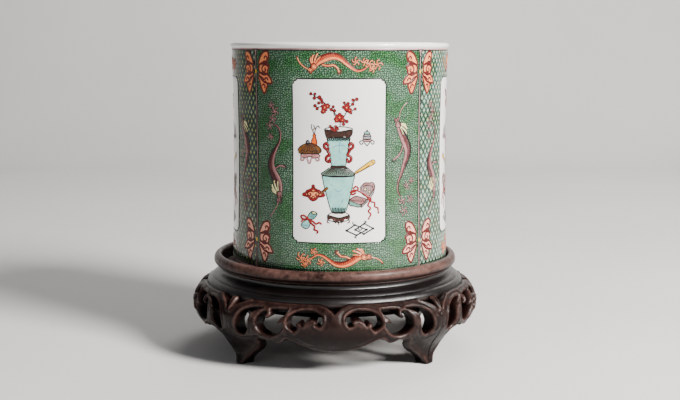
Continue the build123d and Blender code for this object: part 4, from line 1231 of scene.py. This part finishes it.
# raised lines on the face, as (points, height, half width)
RIDGES = [([(5.2, 37.8), (8.0, 41.2), (11.0, 38.6), (13.0, 38.0), (14.6, 33.6)], 0.9, 1.5),
          ([(17.6, 51.0), (18.6, 44.0), (20.0, 39.0), (18.6, 34.0)], 1.0, 1.5),
          ([(25.2, 27.6), (29.6, 29.2), (32.4, 33.6), (32.7, 40.0), (31.4, 46.0)], 0.8, 1.2),
          ([(32.6, 44.2), (33.0, 43.4)], 1.3, 1.8),
          ([(29.4, 28.0), (32.0, 29.2), (35.4, 27.0), (40.6, 27.2), (43.4, 31.0)], 0.8, 1.1),
          ([(33.4, 20.0), (36.4, 15.4), (40.0, 10.6), (43.4, 6.0)], 0.5, 1.4)]

face_dense = smooth([(z, r) for z, r in OUTER_FACE], 0.25)
FACE_Z = np.maximum.accumulate(face_dense[:, 0] + np.arange(len(face_dense)) * 1e-6)
FACE_R = face_dense[:, 1]
FACE_S = run_length(np.column_stack([FACE_Z, FACE_R]))


def lay(points):
    """(degrees, height) on the carving's face to flat millimetres (along, up the face)."""
    pts = np.asarray(points, float)
    return np.stack([np.radians(pts[:, 0]) * LAY_R, np.interp(pts[:, 1], FACE_Z, FACE_S)], 1)


def laid_runs(runs):
    """A chain of smooth runs laid flat; neighbours share their corner point."""
    parts = [smooth(lay(run), PLAN_STEP) for run in runs]
    return np.vstack([p[:-1] for p in parts] + [parts[-1][-1:]])


def mirrored(line):
    return line[::-1] * np.array([-1, 1])


def round_off(distance, radius):
    """How far a rounded edge falls away at a distance from it."""
    d = np.clip(distance, 0, radius)
    return radius - np.sqrt(np.maximum(radius ** 2 - (radius - d) ** 2, 0))


def quarter_plan():
    """The quarter laid flat: points, triangles, and the kinds of edge with their rounding."""
    low, slot, top = (laid_runs(runs) for runs in (LOWER_EDGE, LEG_SLOT, TOP_EDGE))
    sole, end, post = (smooth(lay(pair), PLAN_STEP) for pair in (
        [(SOLE_FROM, 0.0), (LEG, 0.0)], [(LEG, 0.0), (LEG, CARVING_TOP)],
        [(LEG, CARVING_TOP), (SLOT_FROM, CARVING_TOP)]))
    half = np.vstack([low[:-1], sole[:-1], end[:-1], post[:-1], slot[:-1], top])
    outline = np.vstack([half, mirrored(half)[1:-1]])
    holes = []
    for runs in (CRESCENT, SCROLL, LEG_CRESCENT):
        loop = laid_runs(runs)[:-1]
        holes += [loop, mirrored(loop)]
    cut = [low, slot] + [shut(hole) for hole in holes] + [mirrored(low), mirrored(slot)]
    edges = {"cut": (cut, 1.9), "top": ([top, mirrored(top), post, mirrored(post)], 1.0),
             "sole": ([sole, mirrored(sole)], 0.7), "joint": ([end, mirrored(end)], 0.22)}
    loops = [outline] + holes
    border = np.vstack(loops)
    starts = np.cumsum([0] + [len(loop) for loop in loops])
    segments = [pair for first, loop in zip(starts, loops) for pair in ring_edges(len(loop), first)]
    # rings of points just inside the edges, and a staggered grid over the rest, each with the
    # distance that it keeps from the edges
    rings = []
    for loop in loops:
        side = sideways(loop)
        for depth in (0.28, 0.75, 1.35):
            rings += [(loop + side * depth, depth), (loop - side * depth, depth)]
    pitch = 1.25
    width, height = border.max(0) - border.min(0)
    grid = grid_points(np.arange(-width / 2, width / 2, pitch), np.arange(0, height, pitch * 0.87),
                       pitch / 2)
    kept = [border]
    for pts, depth in rings + [(grid, 1.75)]:
        pts = pts[between(pts, outline, holes)]
        distance = np.min([near(pts, shut(loop)) for loop in loops], 0)
        kept.append(pts[distance > depth * 0.93])
    return *triangles(np.vstack(kept), segments, outline, holes), edges


def carved_surface(plan, seed):
    """Radius and height of the face and of the back at the plan's points, and the face's paler edges: rubbed
    wear with painted highlight.
    """
    flat, _, edges = plan
    along, up = flat.T
    distance = {key: np.min([near(flat, line) for line in lines], 0) for key, (lines, _) in edges.items()}
    drop = np.max([round_off(distance[key], radius) for key, (_, radius) in edges.items()], 0)
    relief = np.zeros(len(flat))
    for line, height, half_width in RIDGES:
        run = smooth(lay(line), 0.6)
        for track in (run, mirrored(run)):
            relief = np.maximum(relief, height * hump(near(flat, track), 0, half_width))
    cut = distance["cut"]
    z_face = np.interp(up, FACE_S, FACE_Z)
    hollow = 0.55 * hump(cut, 3.0, 1.3) * (up > np.interp(22, FACE_Z, FACE_S))
    bead = 0.55 * hump(cut, 1.5, 0.75) * np.clip((z_face - 26.0) / 6.0, 0, 1)
    # the apron between the legs falls back towards its lower edge
    from_leg = math.radians(LEG) * LAY_R - np.abs(along)
    fall = 3.6 * np.clip(from_leg / 24.0, 0, 1.1) ** 2 * np.clip((30.0 - z_face) / 12.0, 0, 1)
    uneven = 0.28 * np.array([noise.fractal(Vector((x * 0.12 + seed * 9.0, y * 0.12, seed * 3.7)), 1.0, 2.0,
                                            3) for x, y in flat])
    lift = (relief + uneven) * np.clip(cut / 1.6, 0, 1) + bead - hollow - drop - fall * (from_leg < 30)
    nr = np.interp(up, FACE_S, np.gradient(FACE_Z, FACE_S))
    nz = -np.interp(up, FACE_S, np.gradient(FACE_R, FACE_S))
    scale = np.hypot(nr, nz)
    r_out = np.interp(up, FACE_S, FACE_R) + lift * nr / scale
    z_out = np.maximum(z_face + lift * nz / scale, 0.0)
    face_heights, radii, heights = np.array(INNER_FACE).T
    back_rounding, thinnest = 0.9, 0.9
    r_in = np.minimum(np.interp(z_face, face_heights, radii) + round_off(cut, back_rounding),
                      r_out - thinnest)
    z_in = np.interp(z_face, face_heights, heights)
    # paler cut edges, top edge and raised ridges: partly rubbed wear, partly painted highlight for glints on
    # lit edges; the face is also made paler towards its top, above 30 mm
    rub_and_glint = np.maximum(hump(cut, 0.9, 0.8) + 0.7 * np.exp(-distance["top"] / 0.9),
                     np.clip(relief, 0, 1) * 0.55)
    rub_and_glint = 0.55 * rub_and_glint + 0.16 * np.clip((z_face - 30) / 12, 0, 1) * np.clip(cut / 3, 0, 1)
    return r_out, z_out, r_in, z_in, rub_and_glint


def shelf_sweep(turn):
    """The shelf behind the piercings: points, faces, and the points laid flat for the grain."""
    stops = np.radians(np.linspace(-LEG + JOINT_GAP, LEG - JOINT_GAP, 91) + turn)[:, None]
    r, z = np.array(SHELF).T
    m, last = len(SHELF), (len(stops) - 1) * len(SHELF)
    faces = [(a + i, a + j, a + m + j, a + m + i) for a in range(0, last, m) for i, j in ring_edges(m)]
    faces += [tuple(range(m - 1, -1, -1)), tuple(range(last, last + m))]
    laid = np.stack(np.broadcast_arrays(stops * LAY_R, r, z), -1)
    return round_axis(r, stops, z).reshape(-1, 3), faces, laid.reshape(-1, 3)


def make_quarter(name, turn, wood, plan, seed):
    """One carved quarter: face, back, pierced walls with rounded edges, paler from wear and painted
    highlight, and the shelf.
    """
    flat, tris, _ = plan
    n = len(flat)
    r_out, z_out, r_in, z_in, rub_and_glint = carved_surface(plan, seed)
    reach = math.radians(LEG - JOINT_GAP)
    angle = np.clip(flat[:, 0] / LAY_R, -reach, reach) + math.radians(turn)
    verts = [round_axis(r_out, angle, z_out), round_axis(r_in, angle, z_in)]
    laid = [with_depth(flat), with_depth(flat, 2.0 * WALL_ROWS)]
    wear_and_glint = [rub_and_glint, np.zeros(n)]
    faces = [tuple(t) for t in tris] + [tuple(n + t[::-1]) for t in tris]
    # walls of the piercings and the outline, in rows from face to back
    border, ids, index = open_edges(tris)
    for row in range(1, WALL_ROWS):
        f = row / WALL_ROWS
        r, z = (face[ids] + (back[ids] - face[ids]) * f for face, back in ((r_out, r_in), (z_out, z_in)))
        verts.append(round_axis(r, angle[ids], z))
        laid.append(with_depth(flat[ids], 2.0 * row))
        wear_and_glint.append(rub_and_glint[ids] * 0.35 * (1 - f) ** 2)
    for edge in border:
        a, b = ([i] + [2 * n + k * len(ids) + index[i] for k in range(WALL_ROWS - 1)] + [n + i] for i in edge)
        faces += [(b[k], a[k], a[k + 1], b[k + 1]) for k in range(WALL_ROWS)]
    first = sum(len(part) for part in verts)
    shelf, shelf_faces, shelf_laid = shelf_sweep(turn)
    faces += [tuple(first + i for i in f) for f in shelf_faces]
    wear_and_glint = np.clip(np.concatenate(wear_and_glint + [np.zeros(len(shelf))]), 0, 1)
    return new_mesh(name, np.vstack(verts + [shelf]), faces, [wood],
                    {"laid": np.vstack(laid + [shelf_laid]), "wear_and_glint": wear_and_glint})


def make_stand():
    """Rim, moulding and carved quarters, and new woods for the CAD's inner pieces."""
    wood = dark_wood("stand_hardwood")
    polished = dark_wood("cushion_hardwood", tint=0.45, rub_and_glint_amount=0.35, shine=0.55)
    rim = make_rim([dark_wood("rim_hardwood", tint=1.4, gloss=0.32), polished])
    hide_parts("seat_rim")
    neck = make_neck(polished)
    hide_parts("neck_moulding")
    made = [rim, neck]
    plan = quarter_plan()
    for k, side in enumerate(("front", "right", "back", "left")):
        piece = make_quarter("carving_" + side, 90 * k, wood, plan, k + 1)
        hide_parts("carved_quarter_" + side)
        made.append(piece)
    for piece in made:
        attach(piece, "stand")
    plain = plain_wood("plain_hardwood")
    inner = {"seat_board": plain, "board_batten": plain, "moulding_dowels": bamboo("dowel_bamboo_fibre")}
    inner.update({"leg_tongue_" + leg: plain for leg in ("front_right", "back_right", "back_left",
                                                         "front_left")})
    for node, material in inner.items():
        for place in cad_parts[node].material_slots:
            place.link = "OBJECT"
            place.material = material


# --- floor, light and camera, in metres --------------------------------------------------------
# name, place, diameter, power, colour
LAMPS = (("key", (1.30, -1.05, 1.10), 0.60, 150.0, (1.0, 0.975, 0.94)),
         ("fill", (-1.3, -1.5, 0.9), 1.2, 4.5, (0.92, 0.95, 1.0)),
         ("back", (0.5, 1.3, 1.5), 1.1, 20.0, (1.0, 0.98, 0.95)))
LAMP_TARGET = Vector((0.0, 0.0, 0.13))


def make_studio():
    """A pale floor that bends up into a wall behind, soft lamps and a faint sky."""
    s = Shader("floor_paper")
    place = s.place()
    s.finish(Base_Color=s.ramp(s.noise(place, 3.0, 3.0), (0.3, (0.56, 0.552, 0.54)),
                               (0.7, (0.60, 0.592, 0.58))), Roughness=0.85, Specular_IOR_Level=0.2)
    size, back, bend, wall_top = 3.0, 1.3, 0.5, 2.6
    arc = [(back + bend * math.sin(a), bend - bend * math.cos(a)) for a in np.linspace(0, math.pi / 2, 14)]
    run = [(-size, 0.0)] + arc + [(back + bend, wall_top)]
    verts = [(x / MM, y / MM, z / MM) for x in (-size, size) for y, z in run]
    n = len(run)
    faces = [(i, i + n, i + n + 1, i + 1) for i in range(n - 1)]
    floor = new_mesh("studio_floor", verts, faces, [s.material])
    world = bpy.data.worlds.new("soft_world")
    bpy.context.scene.world = world
    world.use_nodes = True
    background = world.node_tree.nodes["Background"]
    background.inputs["Color"].default_value = (0.92, 0.94, 1.0, 1.0)
    background.inputs["Strength"].default_value = 0.12
    for name, place, size, power, colour in LAMPS:
        lamp = bpy.data.lights.new(name, "AREA")
        lamp.shape = "DISK"
        lamp.size = size
        lamp.energy = power
        lamp.color = colour
        obj = bpy.data.objects.new(name, lamp)
        obj.location = place
        obj.rotation_euler = (LAMP_TARGET - Vector(place)).to_track_quat("-Z", "Y").to_euler()
        bpy.context.scene.collection.objects.link(obj)


def make_camera():
    """A long lens in front of the pot, level with its lip and tilted down a little."""
    lens = bpy.data.cameras.new("camera")
    lens.sensor_width = 36.0
    lens.lens = 61.95
    lens.clip_start = 0.01
    tilt_down = 7.726
    camera = bpy.data.objects.new("camera", lens)
    camera.location = (0.00423, -0.9506, 0.2465)
    camera.rotation_euler = (math.radians(90 - tilt_down), 0.0, 0.0)
    bpy.context.scene.collection.objects.link(camera)
    bpy.context.scene.camera = camera


make_camera()
make_pot()
make_painting()
make_stand()
make_studio()
